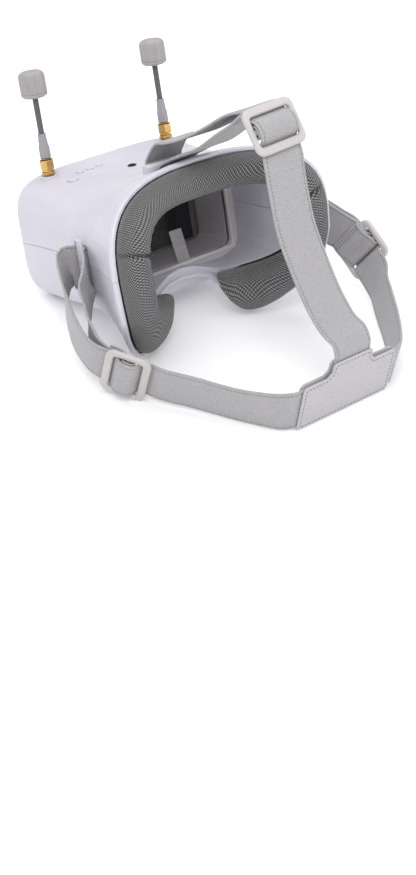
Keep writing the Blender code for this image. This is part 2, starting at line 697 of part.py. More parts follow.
pad_solid(
    "pad_backing", HOOK_BLACK, GAP, GAP + BACKING_THICK,
    ((1.0, 0.0), (1.0, 1.0), (0.5, 1.0), (0.0, 1.0), (0.0, 0.0), (0.5, 0.0)),
)
pad_solid(
    "face_pad", PAD_MESH, 2 * GAP + BACKING_THICK, PAD_THICK,
    ((0.0, 0.0), (0.0, 0.55), (0.14, 0.9), (0.4, 1.0), (0.7, 0.97), (0.93, 0.75), (1.0, 0.4),
     (1.0, 0.0), (0.5, 0.0)),
)

# ---------------------------------------------------------------- optics and screen
def frame_outline(size, y, steps=6):
    """A closed outline (half width, top, bottom, power) at one Y, walked once round."""
    half, top, bottom, power = size
    corners = []
    for hand, height in ((1.0, top), (-1.0, -bottom)):
        quarter = [superellipse(half, height, power, i / steps) for i in range(steps + 1)]
        right = [(x, y, hand * z) for x, z in quarter]
        left = [(-x, y, z) for x, y, z in right[-2::-1]]
        corners.append(right + left)
    return corners[0] + corners[1][-2:0:-1]


def plate_ring(name, finish, outer, inner, span):
    """A frame between an outer and an inner outline, from one Y plane to another."""
    mesh = bmesh.new()
    rings = add_loft(mesh, [
        frame_outline(outer, span[0]), frame_outline(outer, span[1]),
        frame_outline(inner, span[1]), frame_outline(inner, span[0]),
    ], capped=False)
    count = len(rings[0])
    for i in range(count):
        j = (i + 1) % count
        mesh.faces.new((rings[-1][i], rings[-1][j], rings[0][j], rings[0][i]))
    return from_bmesh(name, mesh, finish, smooth=25.0)


plate_ring("lens_frame", FRAME_WHITE, LENS_FRAME, LENS_APERTURE, LENS_FRAME_Y)
box("fresnel_lens", LENS_CLEAR, (-55.0, LENS_Y[0], -31.0), (55.0, LENS_Y[1], 28.4), 0.3)
hood_outer = tuple(
    size + HOOD_WALL * sign for size, sign in zip(HOOD_INSIDE, (1.0, 1.0, -1.0, 0.0))
)
plate_ring("screen_hood", FRAME_WHITE, hood_outer, HOOD_INSIDE, HOOD_Y)

half_lcd = (0.5 * LCD_SIZE[0], 0.5 * LCD_SIZE[1])
lcd_low, lcd_high = LCD_Z - half_lcd[1], LCD_Z + half_lcd[1]
for label, finish, (back, front), rounding in (
    ("lcd_panel", SCREEN_BLACK, LCD_Y, 0.2), ("lcd_backlight", STEEL, BACKLIGHT_Y, 0.4),
):
    box(label, finish, (-half_lcd[0], back, lcd_low), (half_lcd[0], front, lcd_high), rounding)

# ---------------------------------------------------------------- electronics
box("main_pcb", BOARD, (-45.5, PCB_Y[0], -32.0), (45.5, PCB_Y[1], 25.0))
for side, label in ((-1.0, "left"), (1.0, "right")):
    low, high = sorted((side * 14.0, side * 42.0))
    face = PCB_Y[0] - GAP
    box("receiver_" + label, CAN_TIN, (low, face - 3.2, -8.0), (high, face, 15.0), 0.5)
box("battery", POUCH, (-38.0, 115.3, -27.0), (38.0, 121.8, 19.0), 1.2)

ribbon = bmesh.new()
ribbon_path = ((103.5, -24.0), (108.5, -24.0), (108.5, -18.0), (112.6, -18.0))
outline = [(y, z) for y, z in ribbon_path] + [(y, z - 0.5) for y, z in
           ((112.6, -18.0), (109.0, -18.0), (109.0, -24.0), (103.5, -24.0))]
add_loft(ribbon, [[(x, y, z) for y, z in outline] for x in (-11.0, 11.0)])
from_bmesh("lcd_ribbon", ribbon, RIBBON)

box("io_board", BOARD, (-14.0, 70.5, 28.6), (20.0, 90.0, 29.6))
av = bmesh.new()
add_tube(av, [(4.3, 29.9), (4.3, 34.4), (2.6, 34.4), (2.6, 36.2)], [(1.8, 31.0), (1.8, 36.2)], 16, AV_JACK)
from_bmesh("av_jack", av, SOCKET_BLACK, smooth=40.0)
usb = bmesh.new()
usb_outer = ((-4.2, -1.4), (4.2, -1.4), (4.2, 1.4), (-4.2, 1.4))
usb_inner = ((-3.8, -1.0), (3.8, -1.0), (3.8, 1.0), (-3.8, 1.0))
add_loft(usb, [
    [(USB[0] + x, USB[1] + y, 29.9) for x, y in usb_outer],
    [(USB[0] + x, USB[1] + y, 36.0) for x, y in usb_outer],
    [(USB[0] + x, USB[1] + y, 36.0) for x, y in usb_inner],
    [(USB[0] + x, USB[1] + y, 30.5) for x, y in usb_inner],
])
from_bmesh("usb_socket", usb, STEEL)

for side, label in ((-1.0, "left"), (1.0, "right")):
    curve = bpy.data.curves.new("coax_" + label, "CURVE")
    curve.dimensions = "3D"
    curve.bevel_depth = 0.7 * MM
    curve.bevel_resolution = 1
    curve.resolution_u = 3
    curve.use_fill_caps = True
    wire = curve.splines.new("NURBS")
    wire.points.add(len(COAX_PATH) - 1)
    for point, (x, y, z) in zip(wire.points, COAX_PATH):
        point.co = (side * x * MM, y * MM, z * MM, 1.0)
    wire.use_endpoint_u = True
    wire.order_u = 4
    curve.materials.append(COAX)
    lead = bpy.data.objects.new("coax_" + label, curve)
    bpy.context.scene.collection.objects.link(lead)
    lead.parent = goggles

# ---------------------------------------------------------------- keys
def key_seat(x, y, radius):
    """Height of the top of a key's flange, just under the roof."""
    return top_height(abs(x) + radius + 0.5, y) - WALL - 1.5 * GAP


for label, low, high in (
    ("left", (-44.0, 86.5), (-11.0, 102.0)), ("right", (32.0, 87.5), (48.5, 103.5)),
):
    board = box("key_board_" + label, BOARD, (*low, KEY_BOARD_Z[0]), (*high, KEY_BOARD_Z[1]))
    switches = bmesh.new()
    for x, y, radius in BUTTONS.values():
        if low[0] < x < high[0]:
            top = key_seat(x, y, radius) - KEY_FLANGE - BUTTON_TRAVEL - 0.05
            add_box(switches, (x - 1.5, y - 1.5, KEY_BOARD_Z[0] + 0.3), (x + 1.5, y + 1.5, top))
    boolean(board, switches, "UNION", "switches_" + label)

for label, (x, y, radius) in BUTTONS.items():
    crown = top_height(x, y) + 0.9
    seat = key_seat(x, y, radius)
    key = bmesh.new()
    add_turned(
        key,
        [(radius + 0.5, seat - KEY_FLANGE), (radius + 0.5, seat), (radius, seat),
         (radius, crown - 0.5), (radius - 0.35, crown - 0.1), (radius - 1.0, crown)],
        14, (x, y),
    )
    from_bmesh(label, key, KEY_WHITE, smooth=35.0, origin=(x, y, seat))

# ---------------------------------------------------------------- antennas
def across_flats(size):
    """Corner radius of a hexagon from the distance between its flats."""
    return 0.5 * size / math.cos(math.pi / 6)


roof = top_height(ANTENNA_X, ANTENNA_Y)
nut_low = roof + 2.9
nut_high = nut_low + 7.2
sleeve_low = nut_high + 1.4
sleeve_high = sleeve_low + 15.0
for side, label in ((-1.0, "left"), (1.0, "right")):
    axis = (side * ANTENNA_X, ANTENNA_Y)
    at = (*axis, 0.0)
    bore = 0.5 * JACK_DIAMETER

    jack = bmesh.new()
    add_turned(jack, [(3.9, 30.2), (3.9, 33.6), (bore, 33.6), (bore, nut_low + 4.6)], 16, axis)
    from_bmesh("sma_jack_" + label, jack, GOLD, smooth=40.0, origin=at)

    washer = bmesh.new()
    seat = roof + BOSS_HEIGHT + GAP
    inner = [(bore + GAP, seat), (bore + GAP, nut_low - GAP)]
    outer = [(4.4, seat), (4.4, seat + 0.5), (3.9, seat + 0.7), (3.9, nut_low - GAP)]
    add_tube(washer, outer, inner, 16, axis)
    from_bmesh("jack_nut_" + label, washer, GOLD, smooth=40.0, origin=at)

    corner = across_flats(NUT_ACROSS)
    nut = bmesh.new()
    add_turned(
        nut,
        [(3.75, nut_low), (4.2, nut_low + 1.5), (corner, nut_low + 1.9),
         (corner, nut_high - 0.5), (corner * 0.93, nut_high)],
        6, axis,
    )
    nut = from_bmesh("antenna_nut_" + label, nut, GOLD, origin=at)
    thread = bmesh.new()
    add_turned(
        thread,
        [(bore + GAP, nut_low - 1.0), (bore + GAP, nut_high - 1.6),
         (2.9, nut_high - 1.6), (2.9, nut_high + 1.0)],
        16, axis,
    )
    boolean(nut, thread, "DIFFERENCE", "nut_thread_" + label)

    ferrule = bmesh.new()
    add_turned(
        ferrule,
        [(2.55, nut_high - 1.3), (2.55, nut_high + 0.3), (3.1, nut_high + 0.3), (3.1, sleeve_low - GAP)],
        16, axis,
    )
    from_bmesh("antenna_ferrule_" + label, ferrule, GOLD, smooth=40.0, origin=at)

    rod_radius = 0.5 * ROD_DIAMETER
    sleeve = bmesh.new()
    add_tube(
        sleeve,
        [(3.3, sleeve_low), (3.3, sleeve_low + 6.0), (2.75, sleeve_low + 9.5), (2.55, sleeve_high - 0.4),
         (2.3, sleeve_high)],
        [(rod_radius + GAP, sleeve_low), (rod_radius + GAP, sleeve_high)],
        16, axis,
    )
    from_bmesh("antenna_sleeve_" + label, sleeve, SLEEVE_GREY, smooth=40.0, origin=at)

    rod = bmesh.new()
    add_turned(rod, [(rod_radius, sleeve_low), (rod_radius, CAP_Z[0] + 2.0)], 12, axis)
    from_bmesh("antenna_rod_" + label, rod, ROD_GREY, smooth=40.0, origin=at)

    wide = 0.5 * CAP_DIAMETER
    low, high = CAP_Z
    base = bmesh.new()
    add_tube(
        base,
        [(wide - 2.6, low), (wide - 0.7, low + 0.5), (wide, low + 1.5), (wide, low + 2.6)],
        [(rod_radius + GAP, low), (rod_radius + GAP, low + 2.6)],
        CAP_FACES * 2, axis,
    )
    from_bmesh("antenna_cap_base_" + label, base, CAP_GREY, smooth=30.0, origin=at)

    cap = bmesh.new()
    seam = low + 2.6 + GAP
    add_tube(
        cap,
        [(wide, seam), (wide, high - 2.6), (wide - 0.8, high - 1.0), (wide - 2.4, high), (0.6, high)],
        [(wide - 1.4, seam), (wide - 1.4, high - 3.0), (wide - 3.4, high - 1.5), (0.6, high - 1.5)],
        CAP_FACES * 2, axis,
    )
    from_bmesh("antenna_cap_" + label, cap, CAP_GREY, smooth=30.0, origin=at)

# ---------------------------------------------------------------- head strap, in the rest frame
def frame_at(centre, along, across):
    """Rest-frame matrix of a piece on the strap: X along it, Y across it, Z out of its face."""
    x = Vector(along).normalized()
    y = Vector(across)
    y = (y - x * y.dot(x)).normalized()
    z = x.cross(y)
    return Matrix.Translation(Vector(centre)) @ Matrix((x, y, z)).transposed().to_4x4()


def catmull(points, index, t):
    """A point between two neighbours of a list of vectors, on a smooth curve through all."""
    last = len(points) - 1
    before, after = points[max(index - 1, 0)], points[min(index + 2, last)]
    one, two = points[index], points[min(index + 1, last)]
    return 0.5 * (
        2 * one + (two - before) * t + (2 * before - 5 * one + 4 * two - after) * t * t
        + (3 * one - before - 3 * two + after) * t * t * t
    )


def strap(name, stations):
    """A flat band of webbing along (centre, width direction) stations."""
    centres = [Vector(centre) for centre, _ in stations]
    widths = [Vector(width).normalized() for _, width in stations]
    for i in range(1, len(widths)):
        if widths[i].dot(widths[i - 1]) < 0:
            widths[i].negate()
    path, across = [], []
    for i in range(len(centres) - 1):
        steps = max(1, min(2, round((centres[i + 1] - centres[i]).length / STRAP_STEP)))
        for k in range(steps):
            path.append(catmull(centres, i, k / steps))
            across.append(widths[i].lerp(widths[i + 1], k / steps))
    path.append(centres[-1])
    across.append(widths[-1])
    half, thick = 0.5 * STRAP_WIDTH, 0.5 * STRAP_THICK
    corners = ((-half, -thick), (half, -thick), (half, thick), (-half, thick))
    loops = []
    for i, point in enumerate(path):
        ahead = path[min(i + 1, len(path) - 1)] - path[max(i - 1, 0)]
        matrix = frame_at(point, ahead, across[i])
        loops.append([matrix @ Vector((0.0, y, z)) for y, z in corners])
    mesh = bmesh.new()
    add_loft(mesh, loops)
    return from_bmesh(name, mesh, WEBBING, parent=rest, smooth=40.0)


def through_buckle(matrix, steps):
    width = matrix.to_3x3() @ Vector((0.0, 1.0, 0.0))
    return [(matrix @ Vector((along, 0.0, out)), width) for along, out in steps]


def buckle(name, matrix):
    """A three-bar slider: two slots for the webbing beside a thinner middle bar."""
    along, across, thick = BUCKLE
    body = bmesh.new()
    add_box(body, (-0.5 * along, -0.5 * across, -0.5 * thick), (0.5 * along, 0.5 * across, 0.5 * thick))
    corners = [e for e in body.edges if abs(e.verts[0].co.z - e.verts[1].co.z) > 1.0]
    bmesh.ops.bevel(body, geom=corners, offset=BUCKLE_CORNER, segments=3, profile=0.5, affect="EDGES")
    made = from_bmesh(name, body, BUCKLE_GREY, parent=rest)
    made.matrix_local = Matrix.Translation(matrix.translation * MM) @ matrix.to_3x3().to_4x4()
    inside = 0.5 * along - BUCKLE_BAR
    middle, low = 0.5 * BUCKLE_CENTRE_BAR[0], 0.5 * BUCKLE_CENTRE_BAR[1]
    reach = 0.5 * STRAP_WIDTH + BUCKLE_SIDE_PLAY
    slots = [((one, -reach, -thick), (two, reach, thick))
             for one, two in ((-inside, -middle), (middle, inside))]
    thinning = [((-middle - 0.5, -reach, one), (middle + 0.5, reach, two))
                for one, two in ((low, thick), (-thick, -low))]
    for step_name, boxes in (("slots", slots), ("thinning", thinning)):
        cut = bmesh.new()
        for corner_one, corner_two in boxes:
            add_box(cut, corner_one, corner_two)
        boolean(made, cut, "DIFFERENCE", f"{step_name}_{name}", parent=made)
    rounding = made.modifiers.new("edges", "BEVEL")
    rounding.width = 0.5 * MM
    rounding.segments = 1
    rounding.limit_method = "ANGLE"
    return made


lean = math.radians(PATCH_LEAN)
patch_up = Vector((0.0, -math.sin(lean), math.cos(lean)))
patch_frame = frame_at(PATCH_CENTRE, (1.0, 0.0, 0.0), patch_up)
shell_up = design_to_rest((0.0, 0.0, 1.0)) - design_to_rest((0.0, 0.0, 0.0))


def side_bar_wrap(side):
    """Webbing round the bar of one temple, from the rear slot to the front one."""
    z = 0.5 * (SIDE_SLOT_Z[0] + SIDE_SLOT_Z[1])
    return [(design_to_rest((side * x, SIDE_BAR_Y + dy, z)), shell_up) for x, dy in SIDE_WRAP]


def top_bar_wrap():
    """Webbing round the bar on the roof, from the rear slot to the front one."""
    return [(design_to_rest((0.0, TOP_BAR_Y + dy, z)), ACROSS) for dy, z in TOP_WRAP]


for label, side in (("left", -1.0), ("right", 1.0)):
    route = STRAP_ROUTES[label]
    matrix = frame_at(*route["buckle"])
    if side > 0:
        matrix = matrix @ Matrix.Rotation(math.pi, 4, "X")
    path = through_buckle(matrix, FOLD)
    path += route["tail"]
    path += side_bar_wrap(side)
    path += route["strand"]
    path += through_buckle(matrix, THREADED)
    path += route["rear"]
    for depth in PATCH_DEPTHS:
        path.append((patch_frame @ Vector((side * (0.5 * PATCH[0] - depth), 0.0, 0.0)), patch_up))
    strap("strap_" + label, path)
    buckle("buckle_" + label, matrix)

route = STRAP_ROUTES["top"]
matrix = frame_at(*route["buckle"])
path = through_buckle(matrix, FOLD)
path += route["tail"]
path += top_bar_wrap()
path += route["strand"]
path += through_buckle(matrix, THREADED)
path += route["rear"]
path += [(patch_frame @ Vector(step), ACROSS) for step in PATCH_ENTRY]
strap("strap_top", path)
buckle("buckle_top", matrix)

half, high, thick = 0.5 * PATCH[0], 0.5 * PATCH[1], PATCH[2]
tab, rise = 0.5 * PATCH_TAB[0], PATCH_TAB[1]
outline = [(half, -high), (half, high), (tab + PATCH_STEP, high), (tab, high + PATCH_STEP),
           (tab, high + rise)]
outline += [(-x, z) for x, z in reversed(outline)]
for label, hand in (("outer", 1.0), ("inner", -1.0)):
    face = 0.5 * STRAP_THICK + GAP
    leather = bmesh.new()
    add_loft(leather, [[(x, y, hand * z) for x, y in outline] for z in (face, face + thick)])
    corners = [
        e for e in leather.edges
        if abs(e.verts[0].co.z - e.verts[1].co.z) > 0.5 * thick
        and (abs(e.verts[0].co.x) > half - 0.1 or e.verts[0].co.y > high + rise - 0.1)
    ]
    bmesh.ops.bevel(leather, geom=corners, offset=3.0, segments=3, profile=0.5, affect="EDGES")
    piece = from_bmesh("patch_" + label, leather, LEATHER, parent=rest)
    piece.matrix_local = Matrix.Translation(patch_frame.translation * MM) @ patch_frame.to_3x3().to_4x4()
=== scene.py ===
"""Looks of a pair of FPV goggles: a white shell with a woven face pad, a flat lens over a dark
screen, two capped antennas on gold connectors and a three-way elastic head strap.

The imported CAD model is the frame. Shapes here are built in millimetres, in one of two frames.
The design frame is level with the goggles: +X the wearer's right, +Y the way the wearer looks, +Z
up. The rest frame is the table, where the goggles stand tipped nose-down and the straps lie.
"""

import json
import math

import bmesh
import bpy
from mathutils import Matrix, Vector


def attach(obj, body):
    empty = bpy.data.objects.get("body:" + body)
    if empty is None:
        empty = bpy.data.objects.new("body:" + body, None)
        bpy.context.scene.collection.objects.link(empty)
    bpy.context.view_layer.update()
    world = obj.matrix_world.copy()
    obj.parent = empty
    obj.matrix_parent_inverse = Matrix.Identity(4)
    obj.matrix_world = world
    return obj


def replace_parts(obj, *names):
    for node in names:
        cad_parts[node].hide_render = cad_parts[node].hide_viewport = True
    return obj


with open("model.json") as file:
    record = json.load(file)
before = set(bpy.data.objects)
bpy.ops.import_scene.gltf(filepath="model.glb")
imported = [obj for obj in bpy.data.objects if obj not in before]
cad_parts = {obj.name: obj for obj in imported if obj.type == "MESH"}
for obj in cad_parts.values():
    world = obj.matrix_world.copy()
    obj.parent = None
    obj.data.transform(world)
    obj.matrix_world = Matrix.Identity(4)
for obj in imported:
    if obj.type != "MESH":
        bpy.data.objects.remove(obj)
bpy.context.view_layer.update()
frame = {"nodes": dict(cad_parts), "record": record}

nodes = frame["nodes"]
MM = 0.001

# ---------------------------------------------------------------- shared with the CAD source
PITCH = 17.2                    # degrees that the goggles lean nose-down on the table
LIFT = 73.01                    # height of the design frame's origin over the table
CENTRE = (9.587, 23.237)        # middle of the whole object's box in the rest frame
GAP = 0.3                       # clearance between neighbouring parts

RIM_HALF_WIDTH, RIM_TOP, RIM_POWER = 80.0, 48.0, 2.8
FOREHEAD_DEPTH, FOREHEAD_POWER = 22.0, 2.1
FLANGE_FACE = 0.6
OPENING_HALF_WIDTH, OPENING_TOP, OPENING_DEPTH = 58.0, 26.0, 24.0
PAD_INSET, PAD_EDGE = 3.4, 0.3
BACKING_THICK = 1.0
# right half of the shell's rim and of its opening, from the temple to the middle of the nose
LOWER_RIM = (
    (80.0, 0.0, 0.0), (79.2, 0.6, -15.0), (76.0, 4.5, -30.0), (70.0, 12.5, -43.5),
    (61.0, 23.0, -54.6), (51.0, 33.0, -62.2), (42.5, 39.5, -64.2), (35.0, 43.0, -61.2),
    (29.0, 45.5, -53.5), (24.6, 47.2, -45.0), (20.5, 49.0, -38.6), (11.5, 51.0, -34.6),
    (0.0, 52.0, -33.4),
)
LOWER_OPENING = (
    (58.0, 3.0, 0.0), (57.2, 5.0, -9.0), (55.2, 9.0, -17.0), (52.0, 16.0, -23.0),
    (48.0, 23.5, -27.0), (43.5, 30.0, -29.6), (39.0, 35.0, -31.2), (34.5, 39.0, -32.2),
    (30.0, 42.0, -32.8), (25.6, 44.8, -32.6), (19.6, 47.6, -30.6), (10.8, 50.0, -27.0),
    (0.0, 51.0, -25.4),
)
PAD_END = 10.2 / 13.0           # share of the lower rim, from the temple, that the pad covers

ANTENNA_X, ANTENNA_Y = 45.0, 110.0
ROOF = 39.1                     # height of the roof at the antennas
AV_JACK = (-4.0, 79.0)
CAP_DIAMETER, CAP_FACES, CAP_Z = 15.6, 10, (88.2, 104.6)
ROD_DIAMETER, NUT_ACROSS, JACK_DIAMETER = 3.5, 8.0, 6.2

SIDE_BAR_Y, SIDE_SLOT_Z, TOP_BAR_Y = 48.0, (-17.6, 11.4), 43.0
STRAP_WIDTH, STRAP_THICK = 27.0, 1.5
BUCKLE, BUCKLE_BAR, BUCKLE_CENTRE_BAR = (25.6, 33.0, 2.8), 3.6, (3.4, 2.0)
PATCH, PATCH_TAB, PATCH_STEP, PATCH_LEAN = (70.0, 31.0, 1.2), (30.0, 9.0), 3.0, 7.0
PATCH_CENTRE = (17.0, -91.0, 16.0)
# how far the side straps run into the patch, and the top strap's way into it, in its own frame
PATCH_DEPTHS = (0.4, 8.0, 18.7)
PATCH_ENTRY = ((-1.4, 35.5, -4.2), (-0.4, 31.0, -1.3), (0.0, 26.0, 0.0), (0.0, 13.0, 0.0),
               (0.0, 1.0, 0.0))
ACROSS = (1.0, 0.0, 0.0)
# the strap in its slider, as (along, out) steps: sewn round the middle bar, and threaded over it
FOLD = (
    (-13.0, -6.15), (-9.4, -6.15), (-6.4, -5.8), (-4.0, -4.8), (-1.8, -3.0), (0.6, -2.25),
    (2.8, -1.6), (3.4, 0.1), (2.8, 1.7), (0.0, 2.2), (-2.8, 1.6), (-3.4, 0.0), (-4.2, -2.0),
    (-5.8, -3.5), (-9.0, -4.25), (-12.5, -4.35),
)
THREADED = (
    (-12.8, -2.5), (-9.8, -2.5), (-7.8, -1.9), (-6.5, 0.1), (-4.8, 2.5), (-2.4, 3.8), (0.0, 4.05),
    (2.4, 3.8), (4.8, 2.5), (6.5, 0.1), (7.8, -1.9), (9.8, -2.5), (14.6, -2.5),
)
# the strap round its bar on the shell: (x, y from the bar) at a temple, (y from the bar, z) on top
SIDE_WRAP = ((70.6, -6.8), (67.6, -5.2), (65.3, -4.2), (63.5, -2.7), (63.2, 0.0), (63.5, 2.7),
             (65.3, 4.2), (67.6, 5.0), (71.0, 5.6))
TOP_WRAP = ((-8.4, 45.4), (-5.4, 41.8), (-4.3, 39.6), (-2.9, 37.6), (0.0, 36.9), (2.9, 36.5),
            (4.5, 38.0), (5.6, 41.5), (6.4, 45.8))
# the rest of each strap in the rest frame, as (centre, way across) stations; a slider is given by
# its centre, the way along the strap and the way across
STRAP_ROUTES = {
    "left": {
        "buckle": ((-80.0, -14.0, 19.0), (12.0, -15.0, -4.0), (-0.16, -0.19, 0.97)),
        "tail": (
            ((-85.5, 6.5, 27.5), (-0.16, -0.19, 0.97)), ((-83.5, 16.0, 35.5), (-0.1, 0.05, 1.0)),
            ((-79.5, 24.5, 46.5), (-0.05, 0.2, 1.0)), ((-75.0, 31.5, 57.0), (0.0, 0.296, 0.955)),
        ),
        "strand": (
            ((-74.2, 51.8, 54.2), (0.0, 0.296, 0.955)), ((-79.0, 48.0, 50.5), (0.0, 0.25, 0.97)),
            ((-85.0, 37.5, 40.5), (-0.05, 0.1, 1.0)), ((-89.5, 22.0, 31.0), (-0.1, 0.0, 1.0)),
            ((-90.0, 7.0, 24.8), (-0.16, -0.19, 0.97)),
        ),
        "rear": (
            ((-65.5, -32.5, 16.5), (-0.16, -0.19, 0.97)), ((-56.0, -46.5, 16.0), (-0.16, -0.19, 0.97)),
            ((-43.0, -66.5, 14.8), (-0.16, -0.19, 0.97)), ((-31.5, -81.5, 14.6), (-0.08, -0.18, 0.98)),
            ((-26.0, -87.5, 15.0), (-0.02, -0.14, 0.99)), ((-21.0, -90.6, 15.7), (0.0, -0.12, 0.99)),
        ),
    },
    "right": {
        "buckle": ((105.0, -10.0, 36.5), (0.5, -16.0, -10.0), (0.15, -0.1, 0.97)),
        "tail": (
            ((96.3, 10.0, 46.6), (0.12, -0.2, 0.97)), ((89.8, 21.5, 51.6), (0.0, 0.1, 1.0)),
            ((79.5, 32.0, 57.5), (0.0, 0.296, 0.955)),
        ),
        "strand": (
            ((76.5, 52.0, 53.4), (0.0, 0.296, 0.955)), ((87.0, 47.5, 50.5), (0.0, 0.28, 0.96)),
            ((96.5, 36.5, 47.5), (0.0, 0.22, 1.0)), ((101.0, 22.5, 45.3), (0.08, -0.05, 1.0)),
            ((101.4, 10.0, 44.2), (0.15, -0.3, 0.95)),
        ),
        "rear": (
            ((100.5, -31.0, 23.5), (0.12, -0.16, 0.97)), ((94.0, -43.0, 19.0), (0.10, -0.22, 0.97)),
            ((84.5, -58.5, 16.5), (0.05, -0.25, 0.97)), ((73.0, -74.5, 15.2), (0.0, -0.25, 0.97)),
            ((62.5, -86.0, 15.0), (0.0, -0.2, 0.98)), ((56.0, -90.4, 15.7), (0.0, -0.12, 0.99)),
        ),
    },
    "top": {
        "buckle": ((0.0, -35.0, 161.5), (0.6, -8.0, -9.5), ACROSS),
        "tail": (
            ((0.0, -14.5, 157.5), ACROSS), ((0.0, -2.0, 146.0), ACROSS), ((0.0, 14.0, 130.5), ACROSS),
            ((0.0, 31.0, 118.5), ACROSS),
        ),
        "strand": (
            ((0.0, 53.0, 116.5), ACROSS), ((0.0, 43.0, 121.8), ACROSS), ((0.0, 27.0, 131.5), ACROSS),
            ((0.0, 9.0, 145.5), ACROSS), ((0.0, -9.5, 161.0), ACROSS),
        ),
        "rear": (
            ((-1.2, -47.0, 142.5), ACROSS), ((-1.4, -53.0, 127.0), ACROSS), ((0.4, -58.5, 109.0), ACROSS),
            ((4.4, -66.0, 90.0), ACROSS), ((8.5, -75.0, 71.5), ACROSS), ((12.5, -83.6, 58.2), ACROSS),
        ),
    },
}

REST_TO_WORLD = Matrix.Translation((-CENTRE[0], -CENTRE[1], 0.0))
DESIGN_TO_REST = Matrix.Translation((0.0, 0.0, LIFT)) @ Matrix.Rotation(-math.radians(PITCH), 4, "X")
DESIGN_TO_WORLD = REST_TO_WORLD @ DESIGN_TO_REST


# ---------------------------------------------------------------- materials
class Finish:
    """A Principled material under construction, with short ways to add its nodes."""

    def __init__(self, name, **settings):
        self.material = bpy.data.materials.new(name)
        self.material.use_nodes = True
        self.tree = self.material.node_tree
        self.shader = self.tree.nodes["Principled BSDF"]
        for socket, value in settings.items():
            self.shader.inputs[socket.replace("_", " ")].default_value = value
        self.place = self.add("ShaderNodeTexCoord", output="Object")

    def add(self, kind, inputs=None, output=0, **settings):
        """Adds a node and gives one of its outputs; an input is a value or another output."""
        node = self.tree.nodes.new(kind)
        for key, value in settings.items():
            setattr(node, key, value)
        for key, value in (inputs or {}).items():
            if isinstance(value, bpy.types.NodeSocket):
                self.tree.links.new(value, node.inputs[key])
            else:
                node.inputs[key].default_value = value
        return node.outputs[output]

    def connect(self, socket, value):
        """Leads a node's output into one of the shader's sockets."""
        self.tree.links.new(value, self.shader.inputs[socket])

    def noise(self, size, detail=2.0, vector=None):
        """Noise whose features are about this size, in metres."""
        inputs = {"Vector": vector or self.place, "Scale": 1.0 / size, "Detail": detail}
        return self.add("ShaderNodeTexNoise", inputs)

    def math(self, operation, one, two=0.0):
        """The result of a sum on two values."""
        return self.add("ShaderNodeMath", {0: one, 1: two}, operation=operation)

    def between(self, value, low, high, start=0.0, end=1.0):
        """Maps the stretch from start to end smoothly onto low to high."""
        inputs = {"Value": value, "From Min": start, "From Max": end, "To Min": low, "To Max": high}
        return self.add("ShaderNodeMapRange", inputs, interpolation_type="SMOOTHSTEP")

    def mix(self, factor, one, two):
        """A colour between two others."""
        colours = [c if isinstance(c, bpy.types.NodeSocket) else (*c, 1.0) for c in (one, two)]
        inputs = {0: factor, 6: colours[0], 7: colours[1]}
        return self.add("ShaderNodeMix", inputs, output=2, data_type="RGBA")

    def bump(self, height, depth, strength=1.0):
        """Adds relief of this depth in metres over what is there already."""
        inputs = {"Height": height, "Distance": depth, "Strength": strength}
        if self.shader.inputs["Normal"].is_linked:
            inputs["Normal"] = self.shader.inputs["Normal"].links[0].from_socket
        self.connect("Normal", self.add("ShaderNodeBump", inputs))

    def along(self, name):
        """The two running coordinates, in metres, that a mesh carries under this name."""
        vector = self.add("ShaderNodeAttribute", output="Vector", attribute_name=name)
        split = self.add("ShaderNodeSeparateXYZ", {0: vector}, output="X")
        return split, split.node.outputs["Y"]


def shade(colour, factor):
    """The colour made darker or lighter."""
    return tuple(min(c * factor, 1.0) for c in colour)


def plastic(name, colour, roughness, grain=0.0004, depth=0.00002, pale_edges=0.0, mottle=0.03):
    """Moulded plastic: fine spark grain, faint flow marks, and sharp edges made a little paler in patches.
    """
    made = Finish(name, IOR=1.46)
    broad = made.noise(0.03, 3.0)
    flow = made.between(broad, 0.0, 1.0, 0.35, 0.65)
    colours = made.mix(flow, shade(colour, 1.0 - mottle), shade(colour, 1.0 + 0.6 * mottle))
    if pale_edges:
        # sharp convex edges are made lighter, in noisy patches
        edge = made.add("ShaderNodeNewGeometry", output="Pointiness")
        pale_edge_mask = made.math("MULTIPLY", made.between(edge, 0.0, pale_edges, 0.52, 0.62), made.noise(0.004, 4.0))
        colours = made.mix(pale_edge_mask, colours, shade(colour, 1.22))
    made.connect("Base Color", colours)
    smudge = made.noise(0.009, 5.0)
    made.connect("Roughness", made.between(smudge, roughness - 0.05, roughness + 0.07, 0.3, 0.7))
    made.bump(made.noise(grain, 3.0), depth)
    made.bump(broad, 0.0003, 0.15)
    return made.material


def metal(name, colour, roughness, streak=0.0006):
    """Plated or bare metal with fine scratches and a patchy shine."""
    made = Finish(name, Metallic=1.0)
    tarnish = made.between(made.noise(0.003, 4.0), 0.0, 1.0, 0.3, 0.7)
    made.connect("Base Color", made.mix(tarnish, shade(colour, 0.86), colour))
    made.connect("Roughness", made.between(made.noise(0.0015, 4.0), roughness - 0.07, roughness + 0.1))
    stretched = made.add("ShaderNodeMapping", {"Vector": made.place, "Scale": (1.0, 1.0, 9.0)})
    made.bump(made.noise(streak, 2.0, stretched), 0.00001)
    return made.material


